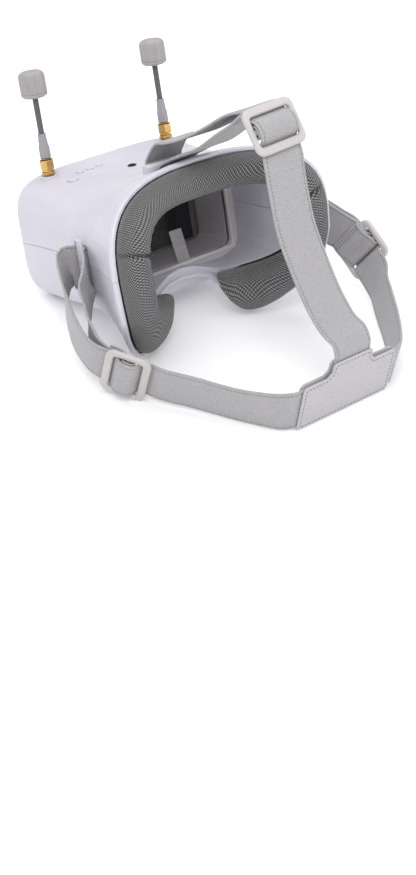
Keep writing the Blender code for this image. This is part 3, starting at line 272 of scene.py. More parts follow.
def pad_weave(name, dark, middle, light, wide, high):
    """Coarse mesh cloth: pale crossings of yarn between dark holes, in staggered rows."""
    made = Finish(name, Roughness=0.86, Sheen_Weight=0.25, Sheen_Roughness=0.5)
    u, v = made.along("cloth")
    waver = made.math("MULTIPLY", made.math("SUBTRACT", made.noise(0.006, 2.0), 0.5), 0.0006)
    across = made.math("SINE", made.math("MULTIPLY", made.math("ADD", u, waver), math.pi / wide))
    up = made.math("SINE", made.math("MULTIPLY", made.math("ADD", v, waver), math.pi / high))
    cell = made.math("MULTIPLY", across, up)
    fuzz = made.math("MULTIPLY", made.math("SUBTRACT", made.noise(0.00035, 3.0), 0.5), 0.7)
    height = made.math("ADD", cell, fuzz)
    yarn = made.mix(made.between(height, 0.0, 1.0, -0.5, 0.05), dark, middle)
    tone = made.mix(made.between(height, 0.0, 1.0, 0.15, 0.95), yarn, light)
    rubbed = made.between(made.noise(0.03, 3.0), 0.0, 0.22, 0.4, 0.75)
    made.connect("Base Color", made.mix(rubbed, tone, middle))
    made.bump(height, 0.00035, 0.9)
    made.bump(made.noise(0.012, 2.0), 0.0012, 0.25)
    return made.material


def webbing(name, colour):
    """Elastic webbing: fine cross ribs and wales, with a pricked line inside both edges."""
    rib_pitch, wale_pitch, prick_pitch, line_at = 0.00078, 0.0011, 0.0019, 0.0116
    made = Finish(name, Roughness=0.8, Sheen_Weight=0.3, Sheen_Roughness=0.45)
    u, v = made.along("cloth")
    rib = made.math("SINE", made.math("MULTIPLY", u, 2 * math.pi / rib_pitch))
    wale = made.math("SINE", made.math("MULTIPLY", v, 2 * math.pi / wale_pitch))
    grid = made.math("MULTIPLY", rib, wale)
    slub = made.math("MULTIPLY", made.math("SUBTRACT", made.noise(0.0007, 4.0), 0.5), 2.6)
    height = made.math("ADD", made.math("MULTIPLY", made.math("ADD", rib, grid), 0.32), slub)
    tone = made.mix(made.between(height, 0.0, 1.0, -0.9, 0.9), shade(colour, 0.72), shade(colour, 1.22))
    line = made.math("ABSOLUTE", made.math("SUBTRACT", made.math("ABSOLUTE", v), line_at))
    prick = made.math("SINE", made.math("MULTIPLY", u, 2 * math.pi / prick_pitch))
    near = made.math("MULTIPLY", made.between(line, 1.0, 0.0, 0.0002, 0.00055),
                     made.between(prick, 0.25, 1.0, -0.3, 0.5))
    tone = made.mix(near, tone, shade(colour, 0.52))
    worn = made.between(made.noise(0.05, 2.0), 0.0, 0.3, 0.4, 0.7)
    made.connect("Base Color", made.mix(worn, tone, shade(colour, 0.93)))
    made.bump(made.math("SUBTRACT", height, made.math("MULTIPLY", near, 1.6)), 0.00016, 0.9)
    return made.material


def leather(name, colour):
    """Coated leather: pebbled grain, and soft creases with a slightly darker tone in patches."""
    pebble_size = 0.00085
    made = Finish(name, IOR=1.45)
    pebble = made.add("ShaderNodeTexVoronoi", {"Vector": made.place, "Scale": 1 / pebble_size},
                      feature="F1", output="Distance")
    crease = made.noise(0.009, 6.0)
    tone = made.mix(made.between(pebble, 0.0, 1.0, 0.1, 0.75), shade(colour, 1.05), shade(colour, 0.86))
    creased = made.between(crease, 0.0, 0.35, 0.35, 0.7)
    made.connect("Base Color", made.mix(creased, tone, shade(colour, 0.9)))
    made.connect("Roughness", made.between(made.noise(0.004, 4.0), 0.46, 0.62, 0.3, 0.7))
    made.bump(pebble, 0.00008, 0.6)
    made.bump(crease, 0.0005, 0.18)
    return made.material


def braid(name, colour, pitch):
    """Braided tube: two sets of threads crossing on the slant."""
    made = Finish(name, Roughness=0.55)
    u, v = made.along("cloth")
    one = made.math("SINE", made.math("MULTIPLY", made.math("ADD", u, v), math.pi / pitch))
    two = made.math("SINE", made.math("MULTIPLY", made.math("SUBTRACT", u, v), math.pi / pitch))
    fuzz = made.math("MULTIPLY", made.noise(0.0003), 0.3)
    height = made.math("ADD", made.math("MULTIPLY", one, two), fuzz)
    top = made.between(height, 0.0, 1.0, -0.6, 0.9)
    made.connect("Base Color", made.mix(top, shade(colour, 0.45), shade(colour, 1.5)))
    made.bump(height, 0.00018, 0.9)
    return made.material


def hook_tape(name):
    """Hook-and-loop tape: short dark pile."""
    made = Finish(name, Roughness=0.95)
    pile = made.noise(0.0004, 4.0)
    made.connect("Base Color", made.mix(made.between(pile, 0.0, 1.0, 0.35, 0.7), (0.006, 0.006, 0.007),
                                        (0.045, 0.045, 0.048)))
    made.bump(pile, 0.0003, 0.9)
    return made.material


def clear_sheet(name, colour, roughness, solid, glancing):
    """Thin clear plastic, from how solid it looks face on and at a glancing angle."""
    made = Finish(name, IOR=1.5, Specular_IOR_Level=1.0)
    scratch = made.add("ShaderNodeMapping", {"Vector": made.place, "Scale": (1.0, 1.0, 14.0)})
    lines = made.noise(0.01, 2.0, scratch)
    made.connect("Base Color", made.mix(made.between(lines, 0.0, 0.6, 0.5, 0.8), colour, shade(colour, 1.5)))
    made.connect("Roughness", made.between(lines, roughness, roughness + 0.06, 0.5, 0.8))
    facing = made.add("ShaderNodeLayerWeight", {"Blend": 0.35}, output="Facing")
    streak = made.between(lines, 0.0, 0.05, 0.55, 0.8)
    made.connect("Alpha", made.math("ADD", made.between(facing, solid, glancing), streak))
    made.bump(made.noise(0.02, 2.0), 0.0002, 0.12)
    return made.material


def screen_glass(name):
    """Dark glass with wiped smears in its shine."""
    made = Finish(name, IOR=1.45)
    smear = made.noise(0.025, 1.0)
    made.connect("Base Color", made.mix(smear, (0.004, 0.004, 0.006), (0.007, 0.007, 0.01)))
    made.connect("Roughness", made.between(smear, 0.3, 0.4, 0.3, 0.7))
    made.bump(smear, 0.0001, 0.2)
    return made.material


finishes = {
    "shell_white": plastic("shell_white", (0.60, 0.585, 0.645), 0.4, pale_edges=0.25),
    "frame_white": plastic("frame_white", (0.82, 0.79, 0.8), 0.5),
    "key_white": plastic("key_white", (0.61, 0.595, 0.65), 0.42, pale_edges=0.3),
    "socket_black": plastic("socket_black", (0.012, 0.012, 0.013), 0.4),
    "coax_black": plastic("coax_black", (0.015, 0.015, 0.016), 0.45, grain=0.0009),
    "sleeve_grey": plastic("sleeve_grey", (0.31, 0.3, 0.32), 0.5, grain=0.0012, depth=0.0001, pale_edges=0.3),
    "cap_grey": plastic("cap_grey", (0.36, 0.34, 0.345), 0.45, pale_edges=0.4, mottle=0.05),
    "buckle_grey": plastic("buckle_grey", (0.52, 0.495, 0.485), 0.4, pale_edges=0.35, mottle=0.05),
    "board_green": plastic("board_green", (0.02, 0.14, 0.06), 0.4, grain=0.002, depth=0.00005,
                           mottle=0.25),
    "battery_pouch": plastic("battery_pouch", (0.45, 0.45, 0.48), 0.3, grain=0.0015, depth=0.0001),
    "ribbon_amber": plastic("ribbon_amber", (0.45, 0.22, 0.05), 0.35, grain=0.001),
    "steel": metal("steel", (0.55, 0.55, 0.56), 0.35),
    "tinned_can": metal("tinned_can", (0.62, 0.62, 0.6), 0.32),
    "gold_plate": metal("gold_plate", (0.66, 0.42, 0.15), 0.2),
    "pad_mesh": pad_weave("pad_mesh", (0.018, 0.018, 0.019), (0.12, 0.12, 0.122), (0.38, 0.38, 0.385),
                          0.00098, 0.00076),
    "hook_black": hook_tape("hook_black"),
    "lens_clear": clear_sheet("lens_clear", (0.05, 0.045, 0.05), 0.09, 0.07, 0.3),
    "screen_black": screen_glass("screen_black"),
    "rod_grey": braid("rod_grey", (0.125, 0.12, 0.13), 0.0008),
    "webbing_grey": webbing("webbing_grey", (0.395, 0.385, 0.395)),
    "leather_grey": leather("leather_grey", (0.5, 0.485, 0.505)),
}
# materials of pieces that have no slot in the CAD model
thread_grey = plastic("thread_grey", (0.17, 0.165, 0.175), 0.7, grain=0.0002, depth=0.00006)
pale_sheet = clear_sheet("pale_sheet", (0.8, 0.78, 0.77), 0.3, 0.45, 0.7)
bezel_grey = metal("bezel_grey", (0.36, 0.33, 0.33), 0.5)

for row in frame["record"]["subparts"]:
    node = nodes[row["node"]]
    node.data.materials.clear()
    node.data.materials.append(finishes[row["material_slot"]])
nodes["lcd_panel"].data.materials[0] = bezel_grey


# ---------------------------------------------------------------- mesh helpers
def piece(name, points, faces, slot, place=REST_TO_WORLD, smooth=None, cloth=None, body="goggles"):
    """A piece from points in millimetres. cloth gives two running coordinates to each point, and
    smooth the angle in degrees above which an edge stays sharp."""
    data = bpy.data.meshes.new(name)
    data.from_pydata([place @ Vector(p) * MM for p in points], [], faces)
    checked = bmesh.new()
    checked.from_mesh(data)
    bmesh.ops.recalc_face_normals(checked, faces=checked.faces)
    checked.to_mesh(data)
    checked.free()
    if cloth:
        running = data.attributes.new("cloth", "FLOAT_VECTOR", "POINT")
        for item, (u, v) in zip(running.data, cloth):
            item.vector = (u * MM, v * MM, 0.0)
    data.shade_smooth()
    if smooth:
        data.set_sharp_from_angle(angle=math.radians(smooth))
    made = bpy.data.objects.new(name, data)
    bpy.context.scene.collection.objects.link(made)
    data.materials.append(finishes.get(slot, slot))
    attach(made, body)
    return made


def loft(loops, closed_ends=True):
    """Points and faces of a skin over closed loops of one length."""
    count = len(loops[0])
    points = [p for loop in loops for p in loop]
    faces = []
    for k in range(len(loops) - 1):
        for i in range(count):
            here, beside = k * count + i, k * count + (i + 1) % count
            faces.append((here, beside, beside + count, here + count))
    if closed_ends:
        faces.append(tuple(range(count)))
        faces.append(tuple(reversed(range(len(points) - count, len(points)))))
    return points, faces


def ring_loft(loops):
    """Points and faces of a skin over loops that come back round to the first one."""
    total = len(loops[0]) * len(loops)
    points, faces = loft(loops + [loops[0]], closed_ends=False)
    return points[:total], [tuple(v % total for v in face) for face in faces]


def apply_modifiers(obj):
    """Keeps the piece's mesh as its modifiers leave it."""
    bpy.context.view_layer.update()
    graph = bpy.context.evaluated_depsgraph_get()
    data = bpy.data.meshes.new_from_object(obj.evaluated_get(graph))
    obj.modifiers.clear()
    old, obj.data = obj.data, data
    bpy.data.meshes.remove(old)


def cubic(before, one, two, after, t):
    """Catmull-Rom curve from one to two."""
    return 0.5 * (
        2 * one + (two - before) * t + (2 * before - 5 * one + 4 * two - after) * t * t
        + (3 * one - before - 3 * two + after) * t * t * t
    )


def catmull(points, index, t):
    """A point of the curve through the points, between this one and the next."""
    after = points[min(index + 2, len(points) - 1)]
    return cubic(points[max(index - 1, 0)], points[index], points[index + 1], after, t)


def frame_at(centre, along, across):
    """Matrix of a piece on the strap: X along it, Y across it, Z out of its face."""
    x = Vector(along).normalized()
    y = Vector(across)
    y = (y - x * y.dot(x)).normalized()
    z = x.cross(y)
    return Matrix.Translation(Vector(centre)) @ Matrix((x, y, z)).transposed().to_4x4()


# ---------------------------------------------------------------- face pad
PAD_RINGS = 190                 # cross-sections of the pad on each half
PAD_UNDER = 6                   # points under the crown of a cross-section
PAD_CROWN = 18                  # steps over it
PAD_RING = PAD_UNDER + PAD_CROWN + 1
PAD_BASE = 2 * GAP + BACKING_THICK
PAD_HIGH = 10.6                 # height of the pad at its inner edge
PAD_OUTER_SHARE = 0.5           # share of that height at its outer edge, above the cheeks
CHEEK_FROM, CHEEK_RUN = 1.25, 0.4   # where the cheeks begin on the rim, and how fast they take over
CHEEK_HIGHER = 2.2              # how much higher the pad is on the cheeks
END_ROUNDING = 9.0              # length over which the pad's two ends round off
OVERHANG = 0.7                  # how far the pad stands out over its backing
CROWN_BULGE = (-0.4, 1.2)       # how far the outer and the inner side of the crown lean
SEAM_AT, SEAM_HALF_WIDTH = 0.885, 0.0115    # the temple seam on the rim
SEAM_DEPTH, PUCKER_DEPTH = 0.0085, 0.00028  # in metres


def superellipse(half_width, height, power, quarter_turn):
    """Point on a quarter of a superellipse: 0 is its side and 1 its top."""
    angle = 0.5 * math.pi * quarter_turn
    return half_width * max(math.cos(angle), 0.0) ** (2 / power), height * math.sin(angle) ** (2 / power)


def spline(points, where):
    """Point of an outline of the right half, which starts at the temple."""
    index = min(int(where), len(points) - 2)
    before = Vector(points[index - 1]) if index else 2 * Vector(points[0]) - Vector(points[1])
    after = Vector(points[min(index + 2, len(points) - 1)])
    return cubic(before, Vector(points[index]), Vector(points[index + 1]), after, where - index)


def rim_point(where):
    """Right half of the face rim: 0 at the middle of the brow, 1 at the temple, 2 at the nose."""
    if where > 1:
        return spline(LOWER_RIM, (where - 1) * (len(LOWER_RIM) - 1))
    x, z = superellipse(RIM_HALF_WIDTH, RIM_TOP, RIM_POWER, 1 - where)
    return Vector((x, FOREHEAD_DEPTH * (1 - (x / RIM_HALF_WIDTH) ** FOREHEAD_POWER), z))


def opening_point(where):
    """Right half of the shell's opening, with the same places as the rim."""
    if where > 1:
        return spline(LOWER_OPENING, (where - 1) * (len(LOWER_OPENING) - 1))
    x, z = superellipse(OPENING_HALF_WIDTH, OPENING_TOP, RIM_POWER, 1 - where)
    depth = OPENING_DEPTH * (1 - (x / OPENING_HALF_WIDTH) ** FOREHEAD_POWER)
    return Vector((x, LOWER_OPENING[0][1] + depth, z))


def pad_line(where):
    """Outer and inner edge of the pad on the flange of the right half."""
    step = 0.004
    ahead = rim_point(min(where + step, 2.0)) - rim_point(max(where - step, 0.0))
    side = Vector((ahead.z, 0.0, -ahead.x)).normalized()
    rim, opening = rim_point(where), opening_point(where)
    if side.dot(opening - rim) < 0:
        side.negate()
    edge = rim + PAD_INSET * side
    drop = Vector((0.0, -FLANGE_FACE, 0.0))
    margin = PAD_EDGE / (opening - edge).length
    return edge.lerp(opening, margin) + drop, opening.lerp(edge, margin) + drop


def pad_stations():
    """Evenly spaced (outer edge, inner edge, distance to the pad's end, place on the rim), from the
    left cheek round the brow to the right one."""
    places = [(1 + PAD_END) * i / PAD_RINGS for i in range(PAD_RINGS + 1)]
    middles = [outer.lerp(inner, 0.5) for outer, inner in map(pad_line, places)]
    run = [0.0]
    for one, two in zip(middles, middles[1:]):
        run.append(run[-1] + (one - two).length)
    half, index = [], 0
    for i in range(PAD_RINGS + 1):
        target = run[-1] * i / PAD_RINGS
        while index < PAD_RINGS - 1 and run[index + 1] < target:
            index += 1
        t = (target - run[index]) / (run[index + 1] - run[index])
        where = places[index] + (places[index + 1] - places[index]) * t
        half.append((*pad_line(where), run[-1] - target, where))
    mirror = [
        (Vector((-outer.x, outer.y, outer.z)), Vector((-inner.x, inner.y, inner.z)), to_end, where)
        for outer, inner, to_end, where in half[:0:-1]
    ]
    return mirror + half


def pad_normals(stations):
    """The way out of the flange at each station, evened out along the pad."""
    last, reach, window = len(stations) - 1, 6, 9
    raw = []
    for i, (outer, inner, _, _) in enumerate(stations):
        ahead, behind = stations[min(i + reach, last)], stations[max(i - reach, 0)]
        along = ahead[0].lerp(ahead[1], 0.5) - behind[0].lerp(behind[1], 0.5)
        normal = along.cross(inner - outer).normalized()
        raw.append(-normal if normal.y > 0 else normal)
    return [sum(raw[max(i - window, 0):i + window + 1], Vector()).normalized()
            for i in range(last + 1)]


def pad_section(station, normal):
    """A closed cross-section of the pad, and the running coordinates of the weave on it."""
    outer, inner, to_end, where = station
    cheek = min(max((where - CHEEK_FROM) / CHEEK_RUN, 0.0), 1.0)
    end = min(to_end / END_ROUNDING, 1.0)
    fullness = math.sqrt(max(1 - (1 - end) ** 2, 0.0))
    wide = 0.45 + 0.55 * fullness
    high = (PAD_HIGH + CHEEK_HIGHER * cheek) * (0.5 + 0.5 * fullness)
    outer_share = PAD_OUTER_SHARE + (1 - PAD_OUTER_SHARE) * cheek
    middle = outer.lerp(inner, 0.5)
    one, two = middle.lerp(outer, wide), middle.lerp(inner, wide)
    one += (one - two).normalized() * OVERHANG
    span = (two - one).length
    side = Vector((two.x - one.x, two.z - one.z)).normalized()
    loop, reaches = [], []
    for k in range(PAD_UNDER):
        t = (k + 0.5) / PAD_UNDER
        loop.append(two.lerp(one, t) + PAD_BASE * normal)
        reaches.append((0.5 - t) * span)
    for k in range(PAD_CROWN + 1):
        angle = math.pi * k / PAD_CROWN
        t = 0.5 - 0.5 * math.copysign(abs(math.cos(angle)) ** 0.62, math.cos(angle))
        rise = math.sin(angle) ** 0.7 * (outer_share + (1 - outer_share) * t)
        bulge = math.sin(angle) ** 0.5 * CROWN_BULGE[k >= PAD_CROWN / 2]
        if k > PAD_CROWN / 2:
            bulge *= 1 + 2.0 * cheek
        loop.append(one.lerp(two, t + bulge / span) + (PAD_BASE + high * rise) * normal)
        reaches.append((span + 1.6 * high) * (k / PAD_CROWN - 0.5))
    return loop, [(middle.x + side.x * reach, middle.z + side.y * reach) for reach in reaches]


def inflate(obj, pinned, pressure=4.0, cap=0.003, frames=20):
    """Blows the closed skin up as cloth, holding its pinned points, and keeps the result. This skin
    is stiff for its size, so it only gives by about half a millimetre."""
    start = [v.co.copy() for v in obj.data.vertices]
    group = obj.vertex_groups.new(name="held")
    group.add(pinned, 1.0, "REPLACE")
    cloth = obj.modifiers.new("cloth", "CLOTH")
    settings = cloth.settings
    settings.use_pressure = True
    settings.uniform_pressure_force = pressure
    settings.effector_weights.gravity = 0.0
    settings.vertex_group_mass = "held"
    settings.tension_stiffness = settings.compression_stiffness = 12.0
    settings.bending_stiffness = 1.5
    settings.quality = 5
    cloth.point_cache.frame_start, cloth.point_cache.frame_end = 1, frames
    for number in range(1, frames + 1):
        bpy.context.scene.frame_set(number)
    graph = bpy.context.evaluated_depsgraph_get()
    blown = obj.evaluated_get(graph).data
    moved = []
    for before, vertex in zip(start, blown.vertices):
        step = vertex.co - before
        if step.length > cap:
            step = step * (cap / step.length)
        moved.append(before + step)
    obj.modifiers.clear()
    obj.vertex_groups.clear()
    for vertex, point in zip(obj.data.vertices, moved):
        vertex.co = point
    bpy.context.scene.frame_set(1)


def pull_in_seams(obj, stations):
    """Draws in a seam across the pad at each temple, where the brow piece meets the cheek piece, and
    puckers the cloth a little along its inner side."""
    inwards = DESIGN_TO_WORLD.to_3x3() @ Vector((0.0, 1.0, 0.0))
    for k, (_, _, _, where) in enumerate(stations):
        nearness = math.exp(-((where - SEAM_AT) / SEAM_HALF_WIDTH) ** 2)
        for i in range(PAD_UNDER + 1, PAD_RING - 1):
            share = (i - PAD_UNDER) / PAD_CROWN
            seam = SEAM_DEPTH * nearness * (0.35 + 0.65 * share) * math.sin(math.pi * share) ** 0.3
            pucker = PUCKER_DEPTH * math.sin(k * 0.9) * math.exp(-((share - 0.8) / 0.16) ** 2)
            obj.data.vertices[k * PAD_RING + i].co += inwards * (seam + pucker)


stations = pad_stations()
pad_loops, pad_cloth = [], []
for station, normal in zip(stations, pad_normals(stations)):
    loop, running = pad_section(station, normal)
    pad_loops.append(loop)
    pad_cloth += running
face_pad = piece("face_pad_cloth", *loft(pad_loops), "pad_mesh", DESIGN_TO_WORLD, cloth=pad_cloth)
foot = [k * PAD_RING + i for k in range(len(stations)) for i in range(PAD_RING)
        if i <= PAD_UNDER or i == PAD_RING - 1]
inflate(face_pad, foot)
pull_in_seams(face_pad, stations)
face_pad.modifiers.new("subdivision", "SUBSURF")
apply_modifiers(face_pad)
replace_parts(face_pad, "face_pad")


# ---------------------------------------------------------------- webbing
STRAP_STEP = 1.6                # distance between cross-sections
# half a cross-section of the webbing: (distance from the middle, half thickness)
STRAP_PROFILE = ((0.0, 0.68), (3.0, 0.7), (6.0, 0.72), (9.0, 0.74), (10.9, 0.75), (11.6, 0.6),
                 (12.3, 0.75), (13.0, 0.68), (13.4, 0.4))
# a slider's wall: (share of the way from its outer edge to its hole, share of its half thickness)
BUCKLE_WALL = ((0.0, 0.35), (0.06, 0.72), (0.2, 1.0), (0.82, 1.0), (0.95, 0.72), (1.0, 0.35))
BUCKLE_VOXEL = 0.00034          # metres
BAR_STITCH_ROWS = (-9.6, -11.6)     # where two rows of stitches close the fold
BAR_STITCHES, BAR_STITCH_REACH = 10, 11.0


def strap_section():
    """The whole cross-section of the webbing, walked once round."""
    right = [*STRAP_PROFILE, *((x, -z) for x, z in reversed(STRAP_PROFILE))]
    return right + [(-x, z) for x, z in reversed(right[1:-1])]


def webbing_path(stations):
    """Evenly spaced points and width directions along a route."""
    centres = [Vector(c) for c, _ in stations]
    widths = [Vector(w).normalized() for _, w in stations]
    for i in range(1, len(widths)):
        if widths[i].dot(widths[i - 1]) < 0:
            widths[i].negate()
    path, across = [], []
    for i in range(len(centres) - 1):
        steps = max(2, round((centres[i + 1] - centres[i]).length / STRAP_STEP))
        for k in range(steps):
            path.append(catmull(centres, i, k / steps))
            across.append(catmull(widths, i, k / steps).normalized())
    path.append(centres[-1])
    across.append(widths[-1])
    return path, across


def strap(label, stations):
    """A band of webbing along a route of (centre, way across) stations."""
    path, across = webbing_path(stations)
    section = strap_section()
    loops, cloth, run = [], [], 0.0
    last = len(path) - 1
    for i, point in enumerate(path):
        if i:
            run += (point - path[i - 1]).length
        ahead = path[min(i + 2, last)] - path[max(i - 2, 0)]
        matrix = frame_at(point, ahead, across[i])
        loops.append([matrix @ Vector((0.0, y, z)) for y, z in section])
        cloth += [(run, y) for y, _ in section]
    made = piece("webbing_" + label, *loft(loops), "webbing_grey", cloth=cloth)
    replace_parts(made, "strap_" + label)


def through_buckle(matrix, steps):
    """Stations of a strap that takes these steps in its slider's own frame."""
    width = matrix.to_3x3() @ Vector((0.0, 1.0, 0.0))
    return [(matrix @ Vector((along, 0.0, out)), width) for along, out in steps]


def rounded_rectangle(half_x, half_y, radius, steps=6):
    """Points of a rectangle with round corners, walked once round."""
    points = []
    for sx, sy, start in ((1, 1, 0), (-1, 1, 90), (-1, -1, 180), (1, -1, 270)):
        for k in range(steps + 1):
            angle = math.radians(start + 90 * k / steps)
            points.append((sx * (half_x - radius) + radius * math.cos(angle),
                           sy * (half_y - radius) + radius * math.sin(angle)))
    return points


def buckle(label, matrix):
    """A moulded three-bar slider with soft edges, fused from a round frame and a middle bar."""
    along, wide, thick = BUCKLE
    slot_half = 0.5 * STRAP_WIDTH + 0.5
    outer = rounded_rectangle(0.5 * along + 0.7, 0.5 * wide + 1.0, 5.0)
    hole = rounded_rectangle(0.5 * along - BUCKLE_BAR - 0.6, slot_half, 2.0)
    depth = 0.5 * thick + 0.15
    rings = [[(a[0] + (b[0] - a[0]) * share, a[1] + (b[1] - a[1]) * share, depth * height)
              for a, b in zip(outer, hole)] for share, height in BUCKLE_WALL]
    points, faces = ring_loft(rings + [[(x, y, -z) for x, y, z in ring] for ring in reversed(rings)])
    half_bar, half_thin = 0.5 * BUCKLE_CENTRE_BAR[0], 0.5 * BUCKLE_CENTRE_BAR[1]
    reach, sides = slot_half + 0.8, 20
    section = [(half_bar * math.cos(a), half_thin * math.sin(a))
               for a in (2 * math.pi * k / sides for k in range(sides))]
    bar_points, bar_faces = loft([[(x, y, z) for x, z in section] for y in (-reach, reach)])
    faces += [tuple(v + len(points) for v in face) for face in bar_faces]
    points += bar_points
    made = piece("slider_" + label, points, faces, "buckle_grey", REST_TO_WORLD @ matrix)
    fuse = made.modifiers.new("fuse", "REMESH")
    fuse.mode = "VOXEL"
    fuse.voxel_size = BUCKLE_VOXEL
    soften = made.modifiers.new("soften", "SMOOTH")
    soften.factor = 0.5
    soften.iterations = 4
    apply_modifiers(made)
    made.data.shade_smooth()
    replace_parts(made, "buckle_" + label)


def stitches(name, spots, length=1.5, radius=0.28, arch=0.16, place=REST_TO_WORLD):
    """Short thread stitches: each spot is a centre, the thread's direction and the way out."""
    points, faces = [], []
    sides, steps, tip = 8, 5, 0.98
    for centre, ahead, out in spots:
        matrix = frame_at(centre, ahead, Vector(out).cross(Vector(ahead)))
        loops = []
        for k in range(steps + 1):
            t = tip * (2 * k / steps - 1)
            thin = radius * math.sqrt(max(1 - t * t, 0.04))
            rise = arch * (1 - t * t)
            loops.append([matrix @ Vector((0.5 * length * t, thin * math.cos(a), rise + thin * math.sin(a)))
                          for a in (2 * math.pi * s / sides for s in range(sides))])
        more_points, more_faces = loft(loops)
        faces += [tuple(v + len(points) for v in face) for face in more_faces]
        points += more_points
    piece(name, points, faces, thread_grey, place)


def bar_stitches(label, matrix):
    """Two rows of stitching, on both faces of the fold that holds a strap to its slider."""
    _, y_axis, z_axis = (matrix.to_3x3() @ Vector(axis) for axis in ((1, 0, 0), (0, 1, 0), (0, 0, 1)))
    proud = 0.5 * STRAP_THICK + 0.01
    below, above = FOLD[0][1] - proud, 0.5 * (FOLD[-2][1] + FOLD[-1][1]) + proud
    spots = []
    for along in BAR_STITCH_ROWS:
        for k in range(BAR_STITCHES):
            across = BAR_STITCH_REACH * (2 * k / (BAR_STITCHES - 1) - 1)
            for out, way in ((below, -1.0), (above, 1.0)):
                spots.append((matrix @ Vector((along, across, out)), y_axis, way * z_axis))
    stitches("bar_stitch_" + label, spots, length=1.7)


def strap_set(label, wrap, into_patch, turned_over=False):
    """A strap with its slider and stitches: from the fold on the slider, round a bar of the shell,
    back through the slider and into the patch."""
    route = STRAP_ROUTES[label]
    matrix = frame_at(*route["buckle"])
    if turned_over:
        matrix = matrix @ Matrix.Rotation(math.pi, 4, "X")
    strap(label, [*through_buckle(matrix, FOLD), *route["tail"], *wrap, *route["strand"],
                  *through_buckle(matrix, THREADED), *route["rear"], *into_patch])
    buckle(label, matrix)
    bar_stitches(label, matrix)


lean = math.radians(PATCH_LEAN)
patch_up = Vector((0.0, -math.sin(lean), math.cos(lean)))
patch_frame = frame_at(PATCH_CENTRE, ACROSS, patch_up)
shell_up = DESIGN_TO_REST.to_3x3() @ Vector((0.0, 0.0, 1.0))
slot_z = 0.5 * (SIDE_SLOT_Z[0] + SIDE_SLOT_Z[1])
for label, side in (("left", -1.0), ("right", 1.0)):
    wrap = [(DESIGN_TO_REST @ Vector((side * x, SIDE_BAR_Y + dy, slot_z)), shell_up)
            for x, dy in SIDE_WRAP]
    into_patch = [(patch_frame @ Vector((side * (0.5 * PATCH[0] - depth), 0.0, 0.0)), patch_up)
                  for depth in PATCH_DEPTHS]
    strap_set(label, wrap, into_patch, turned_over=side > 0)
strap_set("top", [(DESIGN_TO_REST @ Vector((0.0, TOP_BAR_Y + dy, z)), ACROSS) for dy, z in TOP_WRAP],
          [(patch_frame @ Vector(step), ACROSS) for step in PATCH_ENTRY])


# ---------------------------------------------------------------- back patch
PATCH_SEAM, PATCH_STITCH_PITCH, STITCH_SUNK = 2.0, 2.5, 0.16
# a layer's edge: (inset, height over its inner face), with a groove pressed in along the seam
LEATHER_EDGE = ((0.35, 0.0), (0.0, 0.3), (0.0, 0.75), (0.2, 1.05), (0.6, PATCH[2]), (1.5, PATCH[2]),
                (PATCH_SEAM, PATCH[2] - 0.12), (2.5, PATCH[2]), (2.6, PATCH[2]))


def round_corners(outline, radii, steps=6):
    """A polygon's outline with its corners turned into arcs."""
    made = []
    for i, point in enumerate(outline):
        here = Vector(point)
        before, after = Vector(outline[i - 1]), Vector(outline[(i + 1) % len(outline)])
        one, two = (before - here).normalized(), (after - here).normalized()
        half_angle = one.angle(two) / 2
        reach = min(radii[i] / math.tan(half_angle), 0.48 * (before - here).length,
                    0.48 * (after - here).length)
        centre = here + (one + two).normalized() * (reach / math.cos(half_angle))
        start, end = here + one * reach - centre, here + two * reach - centre
        turn = start.angle_signed(end)
        for k in range(steps + 1):
            made.append(centre + Matrix.Rotation(-turn * k / steps, 2) @ start)
    return made


def inset(outline, amount):
    """The outline moved inwards; it is walked anticlockwise."""
    moved = []
    for i, point in enumerate(outline):
        ahead = (outline[(i + 1) % len(outline)] - outline[i - 1]).normalized()
        moved.append(point + amount * Vector((-ahead.y, ahead.x)))
    return moved


def patch_outline():
    """The patch with the tab on its upper edge, walked anticlockwise."""
    wide, high = 0.5 * PATCH[0], 0.5 * PATCH[1]
    tab, rise = 0.5 * PATCH_TAB[0], PATCH_TAB[1]
    right = [(wide, -high), (wide, high), (tab + PATCH_STEP, high), (tab, high + PATCH_STEP),
             (tab, high + rise)]
    radii = [3.4, 3.4, 2.0, 2.0, 3.0]
    return round_corners(right + [(-x, y) for x, y in reversed(right)], radii + radii[::-1])


def seam_spots(seam, height, hand):
    """Evenly spaced places for the stitches along a closed seam on one face of the patch."""
    spots, wait = [], 0.0
    for i, point in enumerate(seam):
        other = seam[(i + 1) % len(seam)]
        ahead = other - point
        while wait < ahead.length:
            at = point.lerp(other, wait / ahead.length)
            spots.append((Vector((at.x, at.y, hand * height)), Vector((ahead.x, ahead.y, 0.0)),
                          Vector((0.0, 0.0, hand))))
            wait += PATCH_STITCH_PITCH
        wait -= ahead.length
    return spots


def patch_layer(label, hand):
    """One sheet of the patch and its stitches; hand is the side of the straps that it lies on."""
    outline = patch_outline()
    face = 0.5 * STRAP_THICK + GAP
    place = REST_TO_WORLD @ patch_frame
    loops = [[(p.x, p.y, hand * (face + z)) for p in inset(outline, amount)]
             for amount, z in LEATHER_EDGE]
    made = piece("leather_" + label, *loft(loops), "leather_grey", place, smooth=50.0)
    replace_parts(made, "patch_" + label)
    spots = seam_spots(inset(outline, PATCH_SEAM), face + PATCH[2] - STITCH_SUNK, hand)
    stitches("patch_stitch_" + label, spots, place=place)


patch_layer("outer", 1.0)
patch_layer("inner", -1.0)


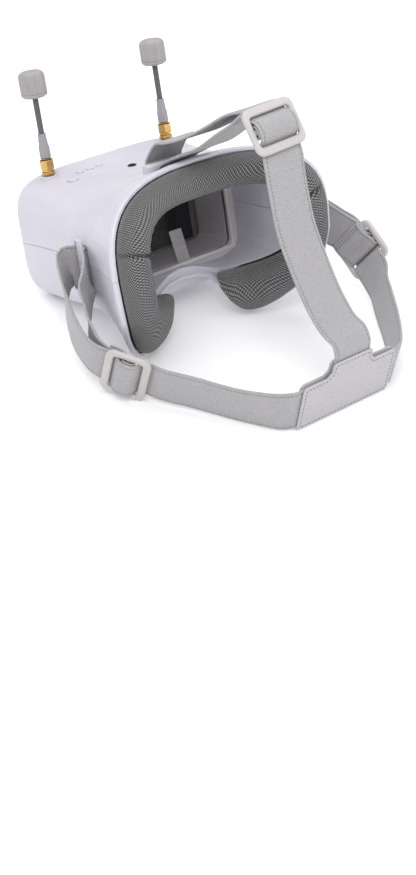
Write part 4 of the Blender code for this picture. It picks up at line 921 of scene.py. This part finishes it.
# ---------------------------------------------------------------- antennas
BORE, ROD = 0.5 * JACK_DIAMETER, 0.5 * ROD_DIAMETER
NUT_LOW = ROOF + 2.9
NUT_HIGH = NUT_LOW + 7.2
SLEEVE_LOW = NUT_HIGH + 1.4
SLEEVE_HIGH = SLEEVE_LOW + 15.0
THREAD_PITCH = 0.55
SEAT = ROOF + 1.0 + GAP
CORNER = 0.5 * NUT_ACROSS / math.cos(math.radians(30))
WIDE, CAP_LOW, CAP_TOP = 0.5 * CAP_DIAMETER, *CAP_Z
CAP_SEAM = CAP_LOW + 2.6 + 0.12

# outlines of the turned parts, as (radius, height) from the bottom up
WASHER = ((4.3, SEAT), (4.4, SEAT + 0.08), (4.4, SEAT + 0.42), (4.25, SEAT + 0.5), (3.95, SEAT + 0.52),
          (3.95, NUT_LOW - GAP - 0.15), (3.8, NUT_LOW - GAP))
NUT = ((3.5, NUT_LOW), (3.75, NUT_LOW + 0.15), (3.8, NUT_LOW + 1.3), (4.05, NUT_LOW + 1.5),
       (4.1, NUT_LOW + 1.75), (CORNER, NUT_LOW + 2.2), (CORNER, NUT_LOW + 3.0), (CORNER, NUT_HIGH - 1.1),
       (CORNER * 0.97, NUT_HIGH - 0.6), (CORNER * 0.9, NUT_HIGH - 0.15), (CORNER * 0.84, NUT_HIGH))
FERRULE = ((2.5, NUT_HIGH - 1.3), (2.5, NUT_HIGH + 0.3), (3.0, NUT_HIGH + 0.35), (3.1, NUT_HIGH + 0.5),
           (3.1, NUT_HIGH + 0.7), (2.9, NUT_HIGH + 0.8), (3.1, NUT_HIGH + 0.9), (3.1, SLEEVE_LOW - GAP))
SLEEVE = ((3.05, SLEEVE_LOW), (3.3, SLEEVE_LOW + 0.15), (3.36, SLEEVE_LOW + 1.5),
          (3.28, SLEEVE_LOW + 4.0), (3.3, SLEEVE_LOW + 6.0), (3.1, SLEEVE_LOW + 7.2),
          (2.82, SLEEVE_LOW + 8.3), (2.75, SLEEVE_LOW + 9.8), (2.68, SLEEVE_LOW + 11.2),
          (2.62, SLEEVE_LOW + 11.5), (2.45, SLEEVE_LOW + 11.8), (2.5, SLEEVE_HIGH - 1.5),
          (2.42, SLEEVE_HIGH - 0.3), (2.25, SLEEVE_HIGH))
CAP_FOOT = ((WIDE - 3.0, CAP_LOW), (WIDE - 1.6, CAP_LOW + 0.08), (WIDE - 0.75, CAP_LOW + 0.5),
            (WIDE - 0.2, CAP_LOW + 1.1), (WIDE, CAP_LOW + 1.8), (WIDE, CAP_LOW + 2.5),
            (WIDE - 0.15, CAP_LOW + 2.6))
DOME = ((WIDE - 0.18, CAP_SEAM), (WIDE, CAP_SEAM + 0.12), (WIDE, CAP_SEAM + 2.0), (WIDE, CAP_TOP - 4.0),
        (WIDE - 0.1, CAP_TOP - 2.9), (WIDE - 0.45, CAP_TOP - 1.8), (WIDE - 1.1, CAP_TOP - 0.9),
        (WIDE - 2.0, CAP_TOP - 0.35), (WIDE - 3.2, CAP_TOP - 0.06), (WIDE - 5.0, CAP_TOP), (0.6, CAP_TOP))


def turned(name, profile, slot, axis, body, sides=48, shape=None, cloth=False, hole=None):
    """A piece round an upright axis from (radius, height) steps. shape gives the radius at an
    angle, and hole the radius of a bore right through it."""
    loops, running = [], []
    steps = list(profile)
    if hole:
        steps += [(hole, z) for z in (profile[-1][1], profile[0][1])]
    for number, (radius, z) in enumerate(steps):
        loop = []
        for k in range(sides):
            angle = 2 * math.pi * k / sides
            shaped = shape(radius, z, angle) if shape and number < len(profile) else radius
            loop.append((axis[0] + shaped * math.cos(angle), axis[1] + shaped * math.sin(angle), z))
            running.append((z, min(k, sides - k) * 2 * math.pi * radius / sides))
        loops.append(loop)
    return piece(name, *(ring_loft(loops) if hole else loft(loops)), slot, DESIGN_TO_WORLD, smooth=32.0,
                 cloth=running if cloth else None, body=body)


def hexagon(radius, z, angle):
    """Flats of a hexagon, cut back where the turned chamfer is smaller."""
    sector = math.radians(60)
    flat = 0.5 * NUT_ACROSS / math.cos((angle % sector) - sector / 2)
    return min(radius, flat)


def cap_shape(radius, z, angle):
    """Ten flats with a fine rib on each corner; the ribs fade out over the top and bottom."""
    sector = 2 * math.pi / CAP_FACES
    offset = (angle % sector) - sector / 2
    flat = math.cos(sector / 2) / math.cos(offset)
    corner = abs(abs(offset) - sector / 2) * radius
    rib = 0.7 * math.exp(-((corner / 0.5) ** 2))
    fade = min(max((z - CAP_LOW) / 1.6, 0.0), 1.0) * min(max((CAP_TOP - z) / 2.6, 0.0), 1.0)
    return radius * (1 + (flat - 1) * (0.4 + 0.6 * fade)) + (rib - 0.4) * fade


def threaded_jack():
    """Outline of the jack: a flange under the roof, then turns of thread."""
    outline = [(3.9, 33.6), (3.9, 33.7), (BORE - 0.2, 33.8)]
    z = ROOF - 3.0
    while z < NUT_LOW + 4.4:
        outline += [(BORE - 0.25, z), (BORE, z + 0.18), (BORE, z + 0.3), (BORE - 0.25, z + 0.48)]
        z += THREAD_PITCH
    return outline


def rod_outline(steps=60):
    """Outline of the rod, from the foot of the sleeve up into the cap."""
    top = CAP_LOW + 2.0
    return [(ROD, SLEEVE_LOW + (top - SLEEVE_LOW) * k / steps) for k in range(steps + 1)]


def antenna(label, side):
    """One antenna. Its jack and washer belong to the goggles, its nut spins, and the rest turns."""
    turning, spinning = "antenna_" + label, "antenna_nut_" + label
    cap = {"sides": 120, "shape": cap_shape}
    for name, node, outline, slot, body, options in (
        ("jack_thread_", "sma_jack_", threaded_jack(), "gold_plate", "goggles", {"hole": 1.6}),
        ("jack_washer_", "jack_nut_", WASHER, "gold_plate", "goggles", {"hole": BORE + GAP}),
        ("hex_nut_", "antenna_nut_", NUT, "gold_plate", spinning,
         {"sides": 96, "shape": hexagon, "hole": BORE + GAP}),
        ("ferrule_", "antenna_ferrule_", FERRULE, "gold_plate", turning, {"hole": 1.2}),
        ("sleeve_", "antenna_sleeve_", SLEEVE, "sleeve_grey", turning, {"hole": ROD + 0.1}),
        ("rod_", "antenna_rod_", rod_outline(), "rod_grey", turning, {"sides": 24, "cloth": True}),
        ("cap_base_", "antenna_cap_base_", CAP_FOOT, "cap_grey", turning, {"hole": ROD + 0.15, **cap}),
        ("cap_", "antenna_cap_", DOME, "cap_grey", turning, cap),
    ):
        made = turned(name + label, outline, slot, (side * ANTENNA_X, ANTENNA_Y), body, **options)
        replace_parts(made, node + label)


antenna("left", -1.0)
antenna("right", 1.0)


# ---------------------------------------------------------------- round socket in the roof
BARREL = ((2.2, 30.2), (2.75, 30.4), (2.75, 38.2), (2.6, 38.4), (2.2, 38.45), (1.9, 38.3))
WELL = ((1.7, 33.0), (1.7, 35.2))
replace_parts(turned("av_barrel", BARREL, "socket_black", AV_JACK, "goggles", hole=1.75), "av_jack")
turned("av_well", WELL, "socket_black", AV_JACK, "goggles", sides=24)


# ---------------------------------------------------------------- behind the lens
SCREEN = ((-46.5, 98.15, -26.5), (46.5, 98.85, 25.6))   # opposite corners
PALE_TAB = ((10.9, 67.62, -28.9), (20.3, 67.86, -7.0))
TRIM_HALF, TRIM_RADIUS, TRIM_DROP = (54.2, 29.2), 0.6, 1.0
# the trim's section: (y, how far in from its outer edge)
TRIM_SECTION = ((64.7, 0.1), (63.9, 0.0), (63.65, 0.3), (63.65, 2.0), (63.9, 2.4), (64.7, 2.45))


def slab(name, corners, slot, radius=0.8, bevel=0.12, shear=0.0):
    """A flat plate in the XZ plane with round corners, between two opposite corners."""
    low, high = corners
    centre = (0.5 * (low[0] + high[0]), 0.5 * (low[2] + high[2]))
    half = (0.5 * (high[0] - low[0]), 0.5 * (high[2] - low[2]))
    loops = []
    for y, back in ((low[1], bevel), (low[1] + bevel, 0.0), (high[1] - bevel, 0.0), (high[1], bevel)):
        outline = rounded_rectangle(half[0] - back, half[1] - back, radius)
        loops.append([(centre[0] + x + shear * (z + half[1]), y, centre[1] + z) for x, z in outline])
    piece(name, *loft(loops), slot, DESIGN_TO_WORLD, smooth=40.0)


def lens_trim():
    """The white trim round the lens opening."""
    loops = []
    for y, step in TRIM_SECTION:
        outline = rounded_rectangle(TRIM_HALF[0] - step, TRIM_HALF[1] - step, TRIM_RADIUS, steps=3)
        loops.append([(x, y, z - TRIM_DROP) for x, z in outline])
    piece("lens_trim", *ring_loft(loops), "frame_white", DESIGN_TO_WORLD, smooth=30.0)


slab("screen_face", SCREEN, "screen_black")
lens_trim()
# a small pale, half see-through sheared plate between the lens trim and the screen
slab("pale_tab", PALE_TAB, pale_sheet, radius=0.5, bevel=0.05, shear=-0.16)


# ---------------------------------------------------------------- floor, light and camera
FLOOR_HALF = 4.0
AIM = (0.0, 0.0, 0.06)          # where the lights point


def lay_floor():
    """A plain white floor."""
    data = bpy.data.meshes.new("floor")
    corners = [(x * FLOOR_HALF, y * FLOOR_HALF, 0) for x, y in ((-1, -1), (1, -1), (1, 1), (-1, 1))]
    data.from_pydata(corners, [], [(0, 1, 2, 3)])
    floor = bpy.data.objects.new("floor", data)
    bpy.context.scene.collection.objects.link(floor)
    made = Finish("floor", Roughness=0.9, Emission_Color=(1.0, 1.0, 1.0, 1.0), Emission_Strength=0.12)
    made.connect("Base Color", made.mix(made.noise(0.4), (0.93, 0.93, 0.935), (0.95, 0.95, 0.95)))
    data.materials.append(made.material)


def softbox(name, place, size, power):
    """A round soft light that points at the goggles."""
    light = bpy.data.lights.new(name, "AREA")
    light.shape = "DISK"
    light.size = size
    light.energy = power
    lamp = bpy.data.objects.new(name, light)
    bpy.context.scene.collection.objects.link(lamp)
    lamp.location = place
    lamp.rotation_euler = (Vector(AIM) - Vector(place)).to_track_quat("-Z", "Y").to_euler()


lay_floor()
world = bpy.data.worlds.new("studio")
bpy.context.scene.world = world
world.use_nodes = True
world.node_tree.nodes["Background"].inputs["Color"].default_value = (0.97, 0.975, 1.0, 1.0)
world.node_tree.nodes["Background"].inputs["Strength"].default_value = 0.58
softbox("key_light", (-0.75, -0.55, 1.35), 1.1, 13.5)
softbox("fill_light", (1.0, -1.1, 0.7), 1.2, 6.5)
softbox("top_light", (0.1, 0.5, 1.5), 1.4, 10.0)

lens = bpy.data.cameras.new("camera")
camera = bpy.data.objects.new("camera", lens)
bpy.context.scene.collection.objects.link(camera)
camera.location = (-0.496927, -0.591967, 0.51505)
camera.rotation_euler = [math.radians(angle) for angle in (59.806, -2.428, -38.405)]
lens.sensor_width = 36.0
lens.lens = 61.67
lens.shift_y = -0.2371
bpy.context.scene.camera = camera
bpy.context.scene.view_settings.view_transform = "Standard"
